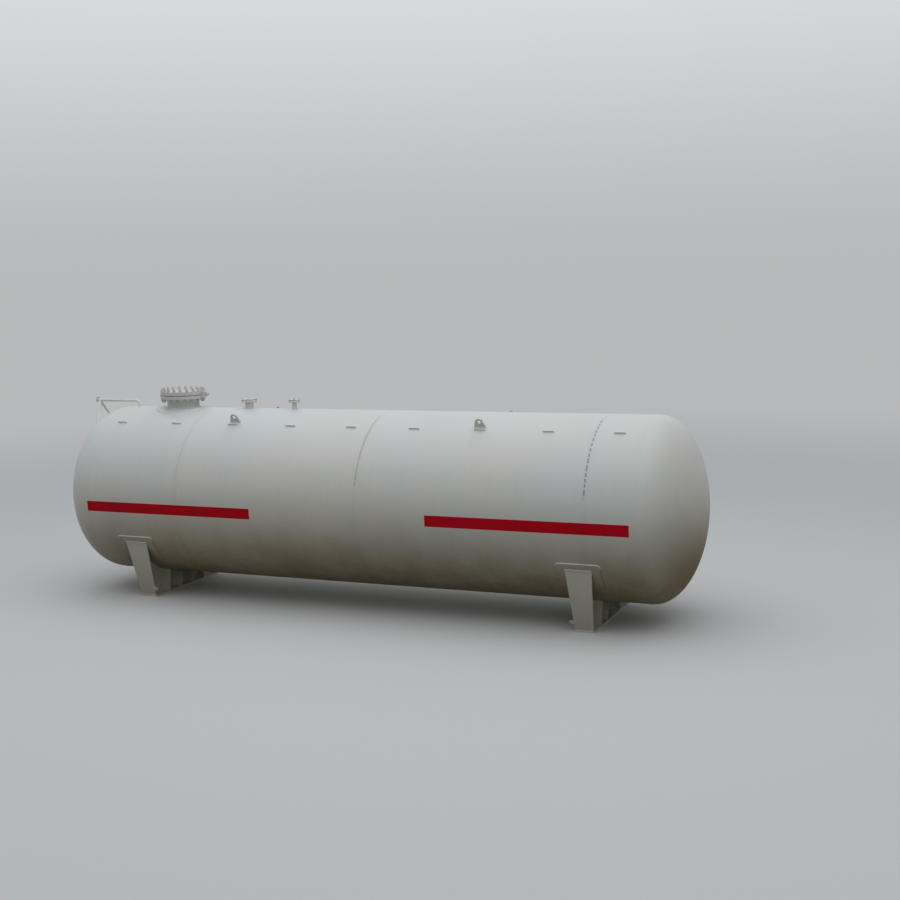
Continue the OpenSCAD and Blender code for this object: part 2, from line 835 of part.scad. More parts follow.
// Inner ribs: upright plates on both sides of the web, their corners by the web cut away
module inner_ribs(x) {
    color(saddle_paint) difference() {
        for (y = inner_rib_places)
            translate([x, y + rib_t / 2, base_t]) rotate([90, 0, 0]) linear_extrude(rib_t)
                rib_taper(axis_z / 2);
        translate([x - web_t / 2, -base_len, 0]) cube([web_t, 2 * base_len, axis_z]);
        wear_body(x);
        for (y = inner_rib_places, side = [-1, 1])
            translate([x + side * web_t / 2, y, base_t]) rotate([90, 0, 0])
                translate([0, 0, -rib_t]) linear_extrude(2 * rib_t)
                    polygon([[-side * over, -over], [side * snipe, -over], [side * snipe, 0],
                             [0, snipe], [-side * over, snipe]]);
    }
}

// Base plate: round anchor holes in the fixed saddle, slots in the sliding one
module base_plate(x, travel) {
    color(saddle_paint) difference() {
        translate([x - base_w / 2, -base_len / 2, 0]) cube([base_w, base_len, base_t]);
        for (i = [-1, 1], j = [-1, 1])
            translate([x + i * anchor_x / 2, j * anchor_y / 2, -over]) {
                if (travel == 0) {
                    rod(base_t + 2 * over, anchor_d);
                } else {
                    for (k = [-1, 1])
                        translate([k * travel / 2, 0, 0]) rod(base_t + 2 * over, anchor_d);
                    translate([-travel / 2, -anchor_d / 2, 0])
                        cube([travel, anchor_d, base_t + 2 * over]);
                }
            }
    }
}

module left_wear_plate() {
    wear_plate(-saddle_x);
}

module left_saddle_web() {
    saddle_web(-saddle_x);
}

module left_end_ribs() {
    end_ribs(-saddle_x);
}

module left_inner_ribs() {
    inner_ribs(-saddle_x);
}

module left_base_plate() {
    base_plate(-saddle_x, 0);
}

module right_wear_plate() {
    wear_plate(saddle_x);
}

module right_saddle_web() {
    saddle_web(saddle_x);
}

module right_end_ribs() {
    end_ribs(saddle_x);
}

module right_inner_ribs() {
    inner_ribs(saddle_x);
}

module right_base_plate() {
    base_plate(saddle_x, slot_travel);
}

// Small plates on the front end ribs, on the side that faces the middle of the tank
module earthing_lugs() {
    color(steel) for (side = [-1, 1]) {
        rib_edge = rib_foot_w / 2 + (rib_head_w - rib_foot_w) / 2 * earth_up / rib_slope_len;
        translate([side * saddle_x, -rib_foot_y, base_t]) rotate([rib_lean, 0, 0])
            translate([-side * (rib_edge - earth_lap + earth_len / 2), -end_rib_t / 2 - earth_t,
                       earth_up - earth_h / 2])
                difference() {
                    translate([-earth_len / 2, 0, 0]) cube([earth_len, earth_t, earth_h]);
                    translate([-side * earth_len / 4, -over, earth_h / 2]) rotate([-90, 0, 0])
                        rod(earth_t + 2 * over, earth_hole_d);
                }
    }
}

left_head();
shell_course_1();
shell_course_2();
shell_course_3();
shell_course_4();
right_head();
girth_welds();
long_welds();
manway_pad();
manway_neck();
manway_flange();
manway_cover();
manway_hinge_plates();
manway_hinge_tongue();
manway_hinge_pin();
safety_valve_neck();
safety_valve_flange();
safety_valve_blind();
vapour_neck();
vapour_flange();
vapour_blind();
flange_gaskets();
lifting_lugs();
front_cleats();
back_cleats();
ladder_rail();
front_ladder_strut();
back_ladder_strut();
ladder_stop();
left_wear_plate();
left_saddle_web();
left_end_ribs();
left_inner_ribs();
left_base_plate();
right_wear_plate();
right_saddle_web();
right_end_ribs();
right_inner_ribs();
right_base_plate();
earthing_lugs();
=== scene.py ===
"""Horizontal pressure tank on two saddles: its paint, weld beads, bolting, red stripes and road dust."""
import math

import bmesh
import bpy
import numpy as np
from mathutils import Matrix, Vector


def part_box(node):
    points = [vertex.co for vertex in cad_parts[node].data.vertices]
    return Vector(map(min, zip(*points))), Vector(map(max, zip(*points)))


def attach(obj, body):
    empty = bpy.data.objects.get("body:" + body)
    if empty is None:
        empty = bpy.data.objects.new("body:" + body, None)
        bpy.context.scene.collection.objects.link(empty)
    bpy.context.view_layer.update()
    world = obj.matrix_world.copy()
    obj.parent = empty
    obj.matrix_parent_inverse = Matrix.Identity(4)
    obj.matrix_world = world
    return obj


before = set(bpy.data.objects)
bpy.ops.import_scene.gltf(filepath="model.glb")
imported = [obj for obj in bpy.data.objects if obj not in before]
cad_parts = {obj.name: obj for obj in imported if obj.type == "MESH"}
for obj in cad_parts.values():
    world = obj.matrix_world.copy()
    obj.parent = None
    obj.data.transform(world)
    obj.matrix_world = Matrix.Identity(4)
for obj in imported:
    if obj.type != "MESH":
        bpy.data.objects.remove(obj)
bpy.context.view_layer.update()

# The viewpoint: the eye of someone on a low bank off the right head, who looks back along the tank,
# so that the top of the shell just shows and the right head turns away.
eye = Vector((8.709, -17.595, 4.718))
look_left = math.radians(22.92)
look_down = math.radians(7.09)
lean = -0.0233
focal_length = 52.23

viewpoint = bpy.data.objects.new("viewpoint", bpy.data.cameras.new("viewpoint"))
bpy.context.scene.collection.objects.link(viewpoint)
viewpoint.matrix_world = (
    Matrix.Translation(eye)
    @ Matrix.Rotation(look_left, 4, "Z")
    @ Matrix.Rotation(math.pi / 2 - look_down, 4, "X")
    @ Matrix.Rotation(lean, 4, "Z")
)
viewpoint.data.sensor_width = 36
viewpoint.data.lens = focal_length
viewpoint.data.clip_end = 400
bpy.context.scene.camera = viewpoint
bpy.context.scene.view_settings.view_transform = "Standard"


# The studio floor: smooth and pale, and far out it runs into the backdrop without a line. The light
# that it throws back under the tank is that of bare earth. It isn't part of the tank.
floor_reach = 150
floor_paint = (0.675, 0.67, 0.655, 1)
floor_earth = (0.20, 0.17, 0.10, 1)
far_tone = (0.48, 0.485, 0.49, 1)
floor_fade = (8, 34)


def new_node(tree, kind, **settings):
    """Adds a node and sets its plain settings."""
    node = tree.nodes.new(kind)
    for key, value in settings.items():
        setattr(node, key, value)
    return node


def feed(socket, value):
    """Links a socket to another one, or sets its plain value."""
    if isinstance(value, bpy.types.NodeSocket):
        socket.id_data.links.new(value, socket)
    else:
        socket.default_value = value


def calc(operation, *values, clamp=False):
    """The result of one Math node. Here and below, the first value is a socket, and the new node
    goes into its tree."""
    node = new_node(values[0].id_data, "ShaderNodeMath", operation=operation, use_clamp=clamp)
    for socket, value in zip(node.inputs, values):
        feed(socket, value)
    return node.outputs[0]


def linear(value, slope, start, clamp=False):
    """Slope times the value, plus start."""
    return calc("MULTIPLY_ADD", value, slope, start, clamp=clamp)


def apart(first, second):
    """How far two values are from each other."""
    return calc("ABSOLUTE", calc("SUBTRACT", first, second))


def product(*values):
    """All values multiplied."""
    result = values[0]
    for value in values[1:]:
        result = calc("MULTIPLY", result, value)
    return result


def fade(value, start, end):
    """0 where the value is at start, 1 where it is at end, and smooth between them."""
    node = new_node(value.id_data, "ShaderNodeMapRange", interpolation_type="SMOOTHSTEP")
    for socket, given in zip(node.inputs, (value, start, end)):
        feed(socket, given)
    return node.outputs[0]


def speckle(place, scale, detail=3.0, roughness=0.55):
    """Noise from 0 to 1 at a place."""
    node = new_node(place.id_data, "ShaderNodeTexNoise")
    for label, value in (("Vector", place), ("Scale", scale), ("Detail", detail), ("Roughness", roughness)):
        feed(node.inputs[label], value)
    return node.outputs[0]


def tint(share, first, second):
    """The first colour, mixed with a share of the second."""
    node = new_node(share.id_data, "ShaderNodeMix", data_type="RGBA")
    for number, value in ((0, share), (6, first), (7, second)):
        feed(node.inputs[number], value)
    return node.outputs[2]


def split(vector):
    """The three numbers of a vector."""
    node = new_node(vector.id_data, "ShaderNodeSeparateXYZ")
    feed(node.inputs[0], vector)
    return node.outputs


def join(*numbers):
    """A vector of three numbers."""
    node = new_node(numbers[0].id_data, "ShaderNodeCombineXYZ")
    for socket, value in zip(node.inputs, numbers):
        feed(socket, value)
    return node.outputs[0]


def stretched(place, scales):
    """A place whose three numbers are multiplied by three scales."""
    return join(*(product(axis, scale) for axis, scale in zip(split(place), scales)))


def distance(aside, rise):
    """Length of a line by its two legs."""
    return calc("SQRT", calc("ADD", product(aside, aside), product(rise, rise)))


def looked_at(tree):
    """1 for rays that show a thing itself: from the camera, off gloss or through glass."""
    path = new_node(tree, "ShaderNodeLightPath").outputs
    seen = calc("MAXIMUM", path["Is Camera Ray"], path["Is Glossy Ray"])
    return calc("MAXIMUM", seen, path["Is Transmission Ray"])


def surface_place(tree):
    """Where on the object a point of its surface is, in metres."""
    return new_node(tree, "ShaderNodeTexCoord").outputs["Object"]


def new_finish(name):
    """An empty material: itself, its node tree, its shader and the surface's place."""
    finish = bpy.data.materials.new(name)
    finish.use_nodes = True
    tree = finish.node_tree
    return finish, tree, tree.nodes["Principled BSDF"], surface_place(tree)


floor_finish, tree, shader, place = new_finish("pale_floor")
seen = looked_at(tree)
feed(shader.inputs["Base Color"], tint(seen, floor_earth, floor_paint))
shader.inputs["Roughness"].default_value = 0.85
shader.inputs["Specular IOR Level"].default_value = 0.2
spot = split(place)
far_off = new_node(tree, "ShaderNodeEmission")
far_off.inputs["Color"].default_value = far_tone
blend = new_node(tree, "ShaderNodeMixShader")
feed(blend.inputs[0], product(fade(distance(spot[0], spot[1]), *floor_fade), seen))
feed(blend.inputs[1], shader.outputs[0])
feed(blend.inputs[2], far_off.outputs[0])
feed(tree.nodes["Material Output"].inputs["Surface"], blend.outputs[0])

floor_mesh = bpy.data.meshes.new("studio_floor")
corners = [(x * floor_reach, y * floor_reach, 0) for x, y in ((-1, -1), (1, -1), (1, 1), (-1, 1))]
floor_mesh.from_pydata(corners, [], [(0, 1, 2, 3)])
studio_floor = bpy.data.objects.new("studio_floor", floor_mesh)
bpy.context.scene.collection.objects.link(studio_floor)
studio_floor.data.materials.append(floor_finish)


# The studio light: an even surround that is brighter overhead, as a closed cloud cover is, and one
# broad soft lamp high over the tank.
lamp_power = 745
lamp_size = (24, 18)
lamp_place = (1.8, -2.5, 13)
lamp_tint = (0.96, 0.98, 1.0)
surround_low = (0.215, 0.21, 0.17, 1)
surround_high = (0.62, 0.66, 0.73, 1)
backdrop_high = (0.74, 0.76, 0.78, 1)

overhead = bpy.data.objects.new("overhead", bpy.data.lights.new("overhead", "AREA"))
overhead.data.shape = "RECTANGLE"
overhead.data.size, overhead.data.size_y = lamp_size
overhead.data.energy = lamp_power
overhead.data.color = lamp_tint
overhead.location = lamp_place
overhead.visible_camera = False
bpy.context.scene.collection.objects.link(overhead)

surround = bpy.data.worlds.new("surround")
surround.use_nodes = True
bpy.context.scene.world = surround
tree = surround.node_tree
rise = split(new_node(tree, "ShaderNodeTexCoord").outputs["Generated"])[2]
cloud = tint(calc("MAXIMUM", rise, 0.0), surround_low, surround_high)
backdrop = tint(fade(rise, 0.0, 0.3), far_tone, backdrop_high)
feed(tree.nodes["Background"].inputs["Color"], tint(looked_at(tree), cloud, backdrop))


# The shell and its heads: four courses of rolled steel plate between two pressed heads, blasted
# and sprayed off-white. Dust lies on top, a brown film darkens the lower half, partly road dirt and
# partly painted shade, and rain has drawn faint runs in both below everything that stands on the shell.
courses = [f"shell_course_{number}" for number in range(1, 5)]
course_low, course_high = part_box(courses[2])
shell_radius = (course_high.z - course_low.z) / 2
axis_height = (course_high.z + course_low.z) / 2
seams = [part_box(courses[0])[0].x, *(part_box(name)[1].x for name in courses)]
off_white = (0.745, 0.735, 0.705, 1)
cool_white = (0.705, 0.73, 0.735, 1)
primed_grey = (0.60, 0.61, 0.60, 1)
brown_dirt_and_shade = (0.225, 0.165, 0.085, 1)
grey_dust_and_shadow = (0.46, 0.44, 0.40, 1)
grime = (0.09, 0.085, 0.075, 1)
rust_dark = (0.085, 0.032, 0.014, 1)
rust_orange = (0.36, 0.125, 0.035, 1)
rust_rise = 0.00015
# Roughness of clean paint, and what a full film of dirt and full rust add to it
clean_rough = 0.36
film_rough = 0.38
rust_rough = 0.4


def new_group(name, inputs, outputs):
    """A shader group with named sockets: its tree, what comes in and where its results go."""
    group = bpy.data.node_groups.new(name, "ShaderNodeTree")
    for label, value in inputs.items():
        kind = "NodeSocketColor" if isinstance(value, tuple) else "NodeSocketFloat"
        group.interface.new_socket(label, in_out="INPUT", socket_type=kind).default_value = value
    for label in outputs:
        kind = "NodeSocketColor" if label == "Colour" else "NodeSocketFloat"
        group.interface.new_socket(label, in_out="OUTPUT", socket_type=kind)
    given = new_node(group, "NodeGroupInput").outputs
    wanted = new_node(group, "NodeGroupOutput").inputs
    return group, given, wanted


def use(tree, group, **values):
    """Places a group with its own values, named with _ for a space: what it puts out."""
    node = new_node(tree, "ShaderNodeGroup", node_tree=group)
    for label, value in values.items():
        feed(node.inputs[label.replace("_", " ")], value)
    return node.outputs


# Where a point is on the tank: along it, round it from the top, out from its axis and from a seam
tank_place, given, wanted = new_group("tank_place", {}, ["Along", "Round", "Out", "Seam"])
spot = split(surface_place(tank_place))
aside = calc("ABSOLUTE", spot[1])
above = calc("SUBTRACT", spot[2], axis_height)
from_seam = apart(spot[0], seams[0])
for seam in seams[1:]:
    from_seam = calc("MINIMUM", apart(spot[0], seam), from_seam)
feed(wanted["Along"], spot[0])
turned = calc("ARCTAN2", aside, above)
feed(wanted["Round"], product(turned, shell_radius))
feed(wanted["Out"], distance(aside, above))
feed(wanted["Seam"], from_seam)

# Rust that breaks through a paint in spots, most where it is told to be
rust_spots, given, wanted = new_group(
    "rust_spots", {"Paint": off_white, "Where": 0.0, "Size": 60.0}, ["Colour", "Rust"]
)
place = surface_place(rust_spots)
spots = speckle(place, given["Size"], detail=5, roughness=0.65)
limit = linear(given["Where"], -0.32, 0.80)
rust = fade(spots, limit, calc("ADD", limit, 0.06))
stain = fade(spots, calc("SUBTRACT", limit, 0.12), limit)
stained = tint(product(stain, 0.35), given["Paint"], rust_orange)
shade = fade(speckle(place, 150, detail=4), 0.35, 0.68)
rust_colour = tint(shade, rust_dark, rust_orange)
feed(wanted["Colour"], tint(rust, stained, rust_colour))
feed(wanted["Rust"], rust)

# Dust on what faces up, and a brown film that grows thicker downwards, partly road dirt and partly
# painted shade, with rain runs in it and mud splashes
road_dirt_and_shade, given, wanted = new_group(
    "road_dirt_and_shade",
    {"Paint": off_white, "Top": 0.0, "Low": 0.0, "Low From": 1.0, "Low To": 0.0, "Runs": 0.0, "Splash": 0.0},
    ["Colour", "Film"],
)
place = surface_place(road_dirt_and_shade)
height = split(place)[2]
upward = split(new_node(road_dirt_and_shade, "ShaderNodeNewGeometry").outputs["Normal"])[2]
around = use(road_dirt_and_shade, tank_place)
patches = fade(speckle(place, 1.6, detail=6, roughness=0.62), 0.3, 0.72)
grains = speckle(place, 55, detail=5, roughness=0.7)
top = product(fade(upward, 0.4, 0.98), given["Top"])
top = product(top, linear(patches, 0.6, 0.6))
low = product(fade(height, given["Low From"], given["Low To"]), given["Low"])
low = product(low, linear(patches, 0.3, 0.8))
run_place = join(product(around["Along"], 23), product(around["Round"], 0.9), 0.0)
runs = fade(speckle(run_place, 1.0, detail=4, roughness=0.62), 0.5, 0.8)
runs = product(runs, fade(around["Round"], 0.3, 1.5), given["Runs"])
drops = fade(speckle(place, 34, detail=2, roughness=0.4), 0.63, 0.70)
drops = product(drops, fade(height, 1.1, 0.15), given["Splash"])
film = calc("ADD", calc("ADD", low, runs), drops)
film = product(film, linear(grains, 0.5, 0.75))
film = calc("MINIMUM", film, 1.0)
dusted = tint(top, given["Paint"], grey_dust_and_shadow)
feed(wanted["Colour"], tint(film, dusted, brown_dirt_and_shade))
feed(wanted["Film"], calc("ADD", film, top, clamp=True))

# Sprayed paint: fine orange peel over the slow waves of rolled plate, as a height in metres
paint_skin, given, wanted = new_group("paint_skin", {"Peel": 0.00008, "Waves": 0.0}, ["Height"])
place = surface_place(paint_skin)
peel = product(speckle(place, 420, detail=2), given["Peel"])
waves = product(speckle(place, 1.3, detail=1), given["Waves"])
feed(wanted["Height"], calc("ADD", peel, waves))


def coat(
    shader, paint, rust_where=0.0, rust_size=60.0, relief=None, roughness=clean_rough, waves=0.0, **dirt_and_shade
):
    """Puts paint on steel: rust spots in it, dirt and painted shade over it, its skin and relief as bumps."""
    tree = shader.id_data
    rusted = use(tree, rust_spots, Paint=paint, Where=rust_where, Size=rust_size)
    dirtied_and_shaded = use(tree, road_dirt_and_shade, Paint=rusted["Colour"], **dirt_and_shade)
    feed(shader.inputs["Base Color"], dirtied_and_shaded["Colour"])
    rough = linear(dirtied_and_shaded["Film"], film_rough, roughness)
    feed(shader.inputs["Roughness"], linear(rusted["Rust"], rust_rough, rough, clamp=True))
    height = use(tree, paint_skin, Waves=waves)["Height"]
    height = linear(rusted["Rust"], rust_rise, height)
    if relief is not None:
        height = calc("ADD", height, relief)
    bump = new_node(tree, "ShaderNodeBump")
    bump.inputs["Distance"].default_value = 1.0
    feed(bump.inputs["Height"], height)
    feed(shader.inputs["Normal"], bump.outputs[0])


def finish_nodes(finish, *names):
    """Gives carried-over pieces their finish."""
    for name in names:
        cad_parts[name].material_slots[0].material = finish


cleat_low, cleat_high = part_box("front_cleats")
cleat_length = 0.165
cleat_count = 9
cleat_pitch = (cleat_high.x - cleat_low.x - cleat_length) / (cleat_count - 1)
first_cleat = cleat_low.x + cleat_length / 2
cleat_angle = math.radians(31.2)
lug_angle = math.radians(28)
lug_width = 0.170
lug_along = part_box("lifting_lugs")[1].x - lug_width / 2
cover_low, cover_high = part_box("manway_cover")
manway_along = (cover_low.x + cover_high.x) / 2
pad_low, pad_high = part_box("manway_pad")
pad_radius = (pad_high.x - pad_low.x) / 2
# Where each starts and is full: the repainted band over a seam, the dirt in the toes of its weld,
# the front with less brown film, and the dirt and painted shade at the rear, along the tank and by height
seam_band = (0.105, 0.085)
toe_dirt = (0.022, 0.0125)
front_along = (seams[0] + 0.7, seams[0] - 0.2)
rear_along = (seams[4] + 0.15, seams[4] + 0.62)
rear_height = (axis_height + 0.6, axis_height - 1.1)
shell_dirt_and_shade = dict(Top=0.12, Low_From=axis_height + 0.45, Low_To=0.25, Runs=0.07, Splash=0.35)

# The white differs a little from one batch of paint to the next
white_batches, given, wanted = new_group("white_batches", {}, ["Colour"])
place = surface_place(white_batches)
batch = fade(speckle(place, 0.5, detail=2), 0.35, 0.65)
feed(wanted["Colour"], tint(batch, off_white, cool_white))

# Towards the left head the lower half gets less of the brown film than the rest of the tank
low_share, given, wanted = new_group("low_share", {}, ["Low"])
front = fade(use(low_share, tank_place)["Along"], *front_along)
feed(wanted["Low"], linear(front, -0.45, 0.80))

shell_finish, tree, shader, place = new_finish("shell_paint")
around = use(tree, tank_place)
paint = use(tree, white_batches)["Colour"]
# The bands over the seams were primed and painted again after the last welds
ragged = linear(speckle(place, 9, detail=4), 0.05, around["Seam"])
paint = tint(product(fade(ragged, *seam_band), 0.07), paint, primed_grey)
# Dirt in the toes of the girth welds between the courses
patchy = fade(speckle(place, 8, detail=5), 0.35, 0.7)
inner = calc("LESS_THAN", calc("ABSOLUTE", around["Along"]), (seams[3] + seams[4]) / 2)
toe = product(fade(around["Seam"], *toe_dirt), patchy, inner, 0.28)
paint = tint(toe, paint, grime)
# The right head was at the rear on the road: its lower half is browner, partly dirt, partly painted shade
rear_dirt_and_shade = fade(around["Along"], *rear_along)
rear_dirt_and_shade = product(rear_dirt_and_shade, fade(split(place)[2], *rear_height), 0.88)
paint = tint(rear_dirt_and_shade, paint, brown_dirt_and_shade)
# Rain runs below the cleats and the lifting lugs, and a greyer patch below the manway's pad, partly
# dirt and partly painted shadow of the manway
from_cleat = calc("PINGPONG", calc("SUBTRACT", around["Along"], first_cleat), cleat_pitch / 2)
from_lug = apart(calc("ABSOLUTE", around["Along"]), lug_along)
from_manway = apart(around["Along"], manway_along)
rain_place = join(product(around["Along"], 60), product(around["Round"], 1.2), 0.0)
rain = fade(speckle(rain_place, 1.0, detail=4), 0.32, 0.72)
for aside, half, start, length, share in (
    (from_cleat, cleat_length / 2, shell_radius * cleat_angle, 0.45, 0.14),
    (from_lug, lug_width / 2, shell_radius * lug_angle, 0.70, 0.20),
    (from_manway, pad_radius * 0.9, pad_radius, 0.9, 0.20),
):
    below = fade(around["Round"], start, start + 0.03)
    below = product(below, fade(around["Round"], start + length, start))
    below = product(below, fade(aside, half + 0.02, half - 0.03), rain, share)
    paint = tint(below, paint, grey_dust_and_shadow)
low = use(tree, low_share)["Low"]
dull = linear(rear_dirt_and_shade, 0.35, clean_rough)
coat(shader, paint, rust_where=0.02, rust_size=26, roughness=dull, waves=0.0035, Low=low, **shell_dirt_and_shade)
finish_nodes(shell_finish, "left_head", "right_head", *courses)


# The girth and long welds: submerged-arc caps, brushed and sprayed over. On the last seam before
# the right head's own the crests are rubbed through to dark steel in short dashes, and on two
# others to a faint grey line.
bare_steel = (0.115, 0.12, 0.125, 1)
cap_width = 0.024
# Worn seams: place, share of steel that shows, and how filled the gaps between the dashes are
seam_wear = ((seams[1], 0.14, 0.5), (seams[2], 0.36, 0.7), (seams[3], 0.64, 0.0))
# Angles from the top where the wear starts, is full, eases and stops
wear_stops = (0.18, 0.36, 1.26, 1.36)
dash_pitch = 0.09
ripple_height = 0.0003

# The ripples of a weld bead, a height over how far it has run and where across it a point is
weld_ripples, given, wanted = new_group(
    "weld_ripples", {"Run": 0.0, "Across": 0.5, "Pitch": 0.005}, ["Height"]
)
place = surface_place(weld_ripples)
bow = calc("SUBTRACT", given["Across"], 0.5)
phase = linear(product(bow, bow), 0.02, given["Run"])
phase = linear(speckle(place, 90), 0.004, phase)
phase = product(calc("DIVIDE", phase, given["Pitch"]), math.pi)
scale = calc("ABSOLUTE", calc("SINE", phase))
feed(wanted["Height"], product(scale, ripple_height))

for name in ("girth_welds", "long_welds"):
    finish, tree, shader, place = new_finish(name + "_paint")
    around = use(tree, tank_place)
    paint = use(tree, white_batches)["Colour"]
    if name == "girth_welds":
        across = linear(around["Seam"], 1 / cap_width, 0.5)
        relief = use(tree, weld_ripples, Run=around["Round"], Across=across, Pitch=0.006)["Height"]
        shifted = linear(speckle(place, 5, detail=2), 0.12, around["Round"])
        dashes = calc("SINE", product(shifted, 2 * math.pi / dash_pitch))
        start, full, ease, stop = (shell_radius * angle for angle in wear_stops)
        upper = fade(around["Round"], start, full)
        upper = product(upper, fade(around["Round"], stop, ease))
        for seam, share, filled in seam_wear:
            here = calc("COMPARE", around["Along"], seam, cap_width)
            crest = fade(around["Seam"], cap_width * 0.5, cap_width * 0.42)
            broken = calc("MAXIMUM", fade(dashes, -0.75, -0.35), filled)
            paint = tint(product(here, upper, crest, broken, share), paint, bare_steel)
    else:
        relief = use(tree, weld_ripples, Run=around["Along"], Pitch=0.006)["Height"]
    low = use(tree, low_share)["Low"]
    coat(shader, paint, rust_where=0.12, rust_size=40, relief=relief, Low=low, **shell_dirt_and_shade)
    finish_nodes(finish, name)


# The manway: a forged neck with its reinforcing pad, a flange and a cover held by twenty stud bolts,
# and a hinge beside it. The welds are laid by hand, and all of it was sprayed once it was bolted up.
hub_length = 0.026
manway_bolt_circle = 0.650
manway_holes = 20
bead_step = 0.012
pad_fillet = 0.011
neck_fillet = 0.016
neck_cap = 0.009
flange_white = (0.68, 0.675, 0.65, 1)
forged_grey = (0.50, 0.50, 0.49, 1)
stud_steel = (0.40, 0.40, 0.41, 1)
fitting_dust = 0.2

# Sections of a bead in parts of its size: a fillet in a corner, and a cap on a flat joint
fillet = np.array(
    [(-0.1, -0.1), (1.0, -0.1), (1.0, 0.0), (0.78, 0.34), (0.56, 0.56), (0.34, 0.78), (0.0, 1.0), (-0.1, 1.0)]
)
cap = np.array([(-1.0, -0.15), (1.0, -0.15), (1.0, 0.0), (0.6, 0.24), (0.0, 0.34), (-0.6, 0.24), (-1.0, 0.0)])

# Metric bolts: thread, flats, nut height, pitch, washer radius, washer height, spare thread
m30 = (0.030, 0.046, 0.0256, 0.0035, 0.028, 0.004, 0.024)
m16 = (0.016, 0.024, 0.0148, 0.002, 0.015, 0.003, 0.005)
# Bores of a nut and of a washer in parts of the thread
nut_bore = 0.97
washer_bore = 1.04
# Edges that turn by more than this stay sharp
crease_angle = math.radians(38)


def piece(name, bodies, finish):
    """Joins bodies into one mesh that rides on the tank. A body is a grid of points: copy, station
    along its path, point round its section. Neighbours on the grid span the faces. The section
    closes on itself; the path closes too, or gets a flat face at each end. The UV map holds the
    metres run along the path and the share of the way round the section."""
    points, faces, corner_map = [], [], []
    start = 0
    for grid, closed in bodies:
        copies, rows, columns = grid.shape[:3]
        row, column = np.divmod(np.arange((rows if closed else rows - 1) * columns), columns)
        here, there = row * columns, (row + 1) % rows * columns
        beside = (column + 1) % columns
        quads = np.stack([here + column, there + column, there + beside, here + beside], -1)
        first = start + np.arange(copies)[:, None, None] * rows * columns
        faces += (first + quads).reshape(-1, 4).tolist()
        middle = grid.mean(axis=2)
        steps = np.linalg.norm(np.roll(middle, -1, axis=1) - middle, axis=2)
        run = np.concatenate([np.zeros((copies, 1)), np.cumsum(steps, axis=1)], axis=1)
        along = np.stack([run[:, row], run[:, row + 1], run[:, row + 1], run[:, row]], -1)
        share = np.stack([column, column, column + 1, column + 1], -1) / columns
        corner_map.append(np.stack([along, np.broadcast_to(share, along.shape)], -1).reshape(-1, 2))
        if not closed:
            ends = np.stack([np.arange(columns)[::-1], (rows - 1) * columns + np.arange(columns)])
            faces += (first + ends).reshape(-1, columns).tolist()
            corner_map.append(np.zeros((copies * 2 * columns, 2)))
        points.append(grid.reshape(-1, 3))
        start += copies * rows * columns
    mesh = bpy.data.meshes.new(name)
    mesh.from_pydata(np.concatenate(points), [], faces)
    run_map = np.concatenate(corner_map).astype(np.float32)
    mesh.uv_layers.new(name="run").uv.foreach_set("vector", run_map.ravel())
    edit = bmesh.new()
    edit.from_mesh(mesh)
    bmesh.ops.recalc_face_normals(edit, faces=edit.faces)
    edit.to_mesh(mesh)
    edit.free()
    mesh.shade_smooth()
    mesh.set_sharp_from_angle(angle=crease_angle)
    mesh.materials.append(finish)
    made = bpy.data.objects.new(name, mesh)
    bpy.context.scene.collection.objects.link(made)
    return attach(made, "root")


def unit(vectors):
    """Vectors at length 1."""
    return vectors / np.linalg.norm(vectors, axis=-1, keepdims=True)


def bead(path, first, second, size, section=fillet, closed=False):
    """A weld bead: at each station of its path the section's points lie so many sizes along the
    first direction and so many along the second. The size swells and shrinks by a few hundredths,
    as the sum of two sines of the metres run."""
    path = np.asarray(path, float)
    run = np.concatenate([[0], np.cumsum(np.linalg.norm(np.diff(path, axis=0), axis=1))])
    swell = size * (1 + 0.05 * np.sin(61 * run) + 0.04 * np.sin(143 * run + 1))
    first = np.broadcast_to(np.asarray(first, float), path.shape)[:, None]
    second = np.broadcast_to(np.asarray(second, float), path.shape)[:, None]
    grid = path[:, None] + swell[:, None, None] * (section[:, :1] * first + section[:, 1:] * second)
    return grid[None], closed


def ring(radius, spacing):
    """Angles round a circle at about a spacing, with their cosines and sines."""
    turn = np.linspace(0, 2 * np.pi, int(2 * np.pi * radius / spacing) + 12, endpoint=False)
    return turn, np.cos(turn), np.sin(turn)


def pipe_foot(x, pipe_radius, carrier_radius, spacing=bead_step):
    """Line where an upright pipe meets a cylinder on the tank's axis: round the pipe, at the
    height sqrt(carrier radius² - y²). Also the ways out along the cylinder, and up the pipe."""
    turn, cos, sin = ring(pipe_radius, spacing)
    y = pipe_radius * sin
    height = np.sqrt(carrier_radius**2 - y**2)
    path = np.stack([x + pipe_radius * cos, y, axis_height + height], -1)
    return path, unit(np.stack([cos, sin, -sin * y / height], -1)), (0, 0, 1)


def level_joint(x, radius, height, spacing=bead_step):
    """Level circle round an upright pipe: its line, the way up and the ways out."""
    turn, cos, sin = ring(radius, spacing)
    outward = np.stack([cos, sin, 0 * turn], -1)
    return np.array([x, 0, height]) + radius * outward, (0, 0, 1), outward


def lathe(profile, angles):
    """A body round Z: the profile's points, radius and height, at each angle."""
    cos, sin = np.cos(angles)[:, None], np.sin(angles)[:, None]
    return np.stack([profile[..., 0] * cos, profile[..., 0] * sin, profile[..., 1]], -1)


def hexagon(flats):
    """Angles round a hexagon. At each, its side lies at half the flats over the cosine of the angle
    from the nearest flat. Also the rim of its chamfer, and how far a cone of 30 degrees falls from
    there to the side."""
    angles = np.radians(np.arange(0, 360, 15))
    side = flats / 2 / np.cos((angles + np.pi / 6) % (np.pi / 3) - np.pi / 6)
    rim = np.full_like(side, 0.475 * flats)
    return angles, side, rim, (side - rim) * math.tan(np.pi / 6)


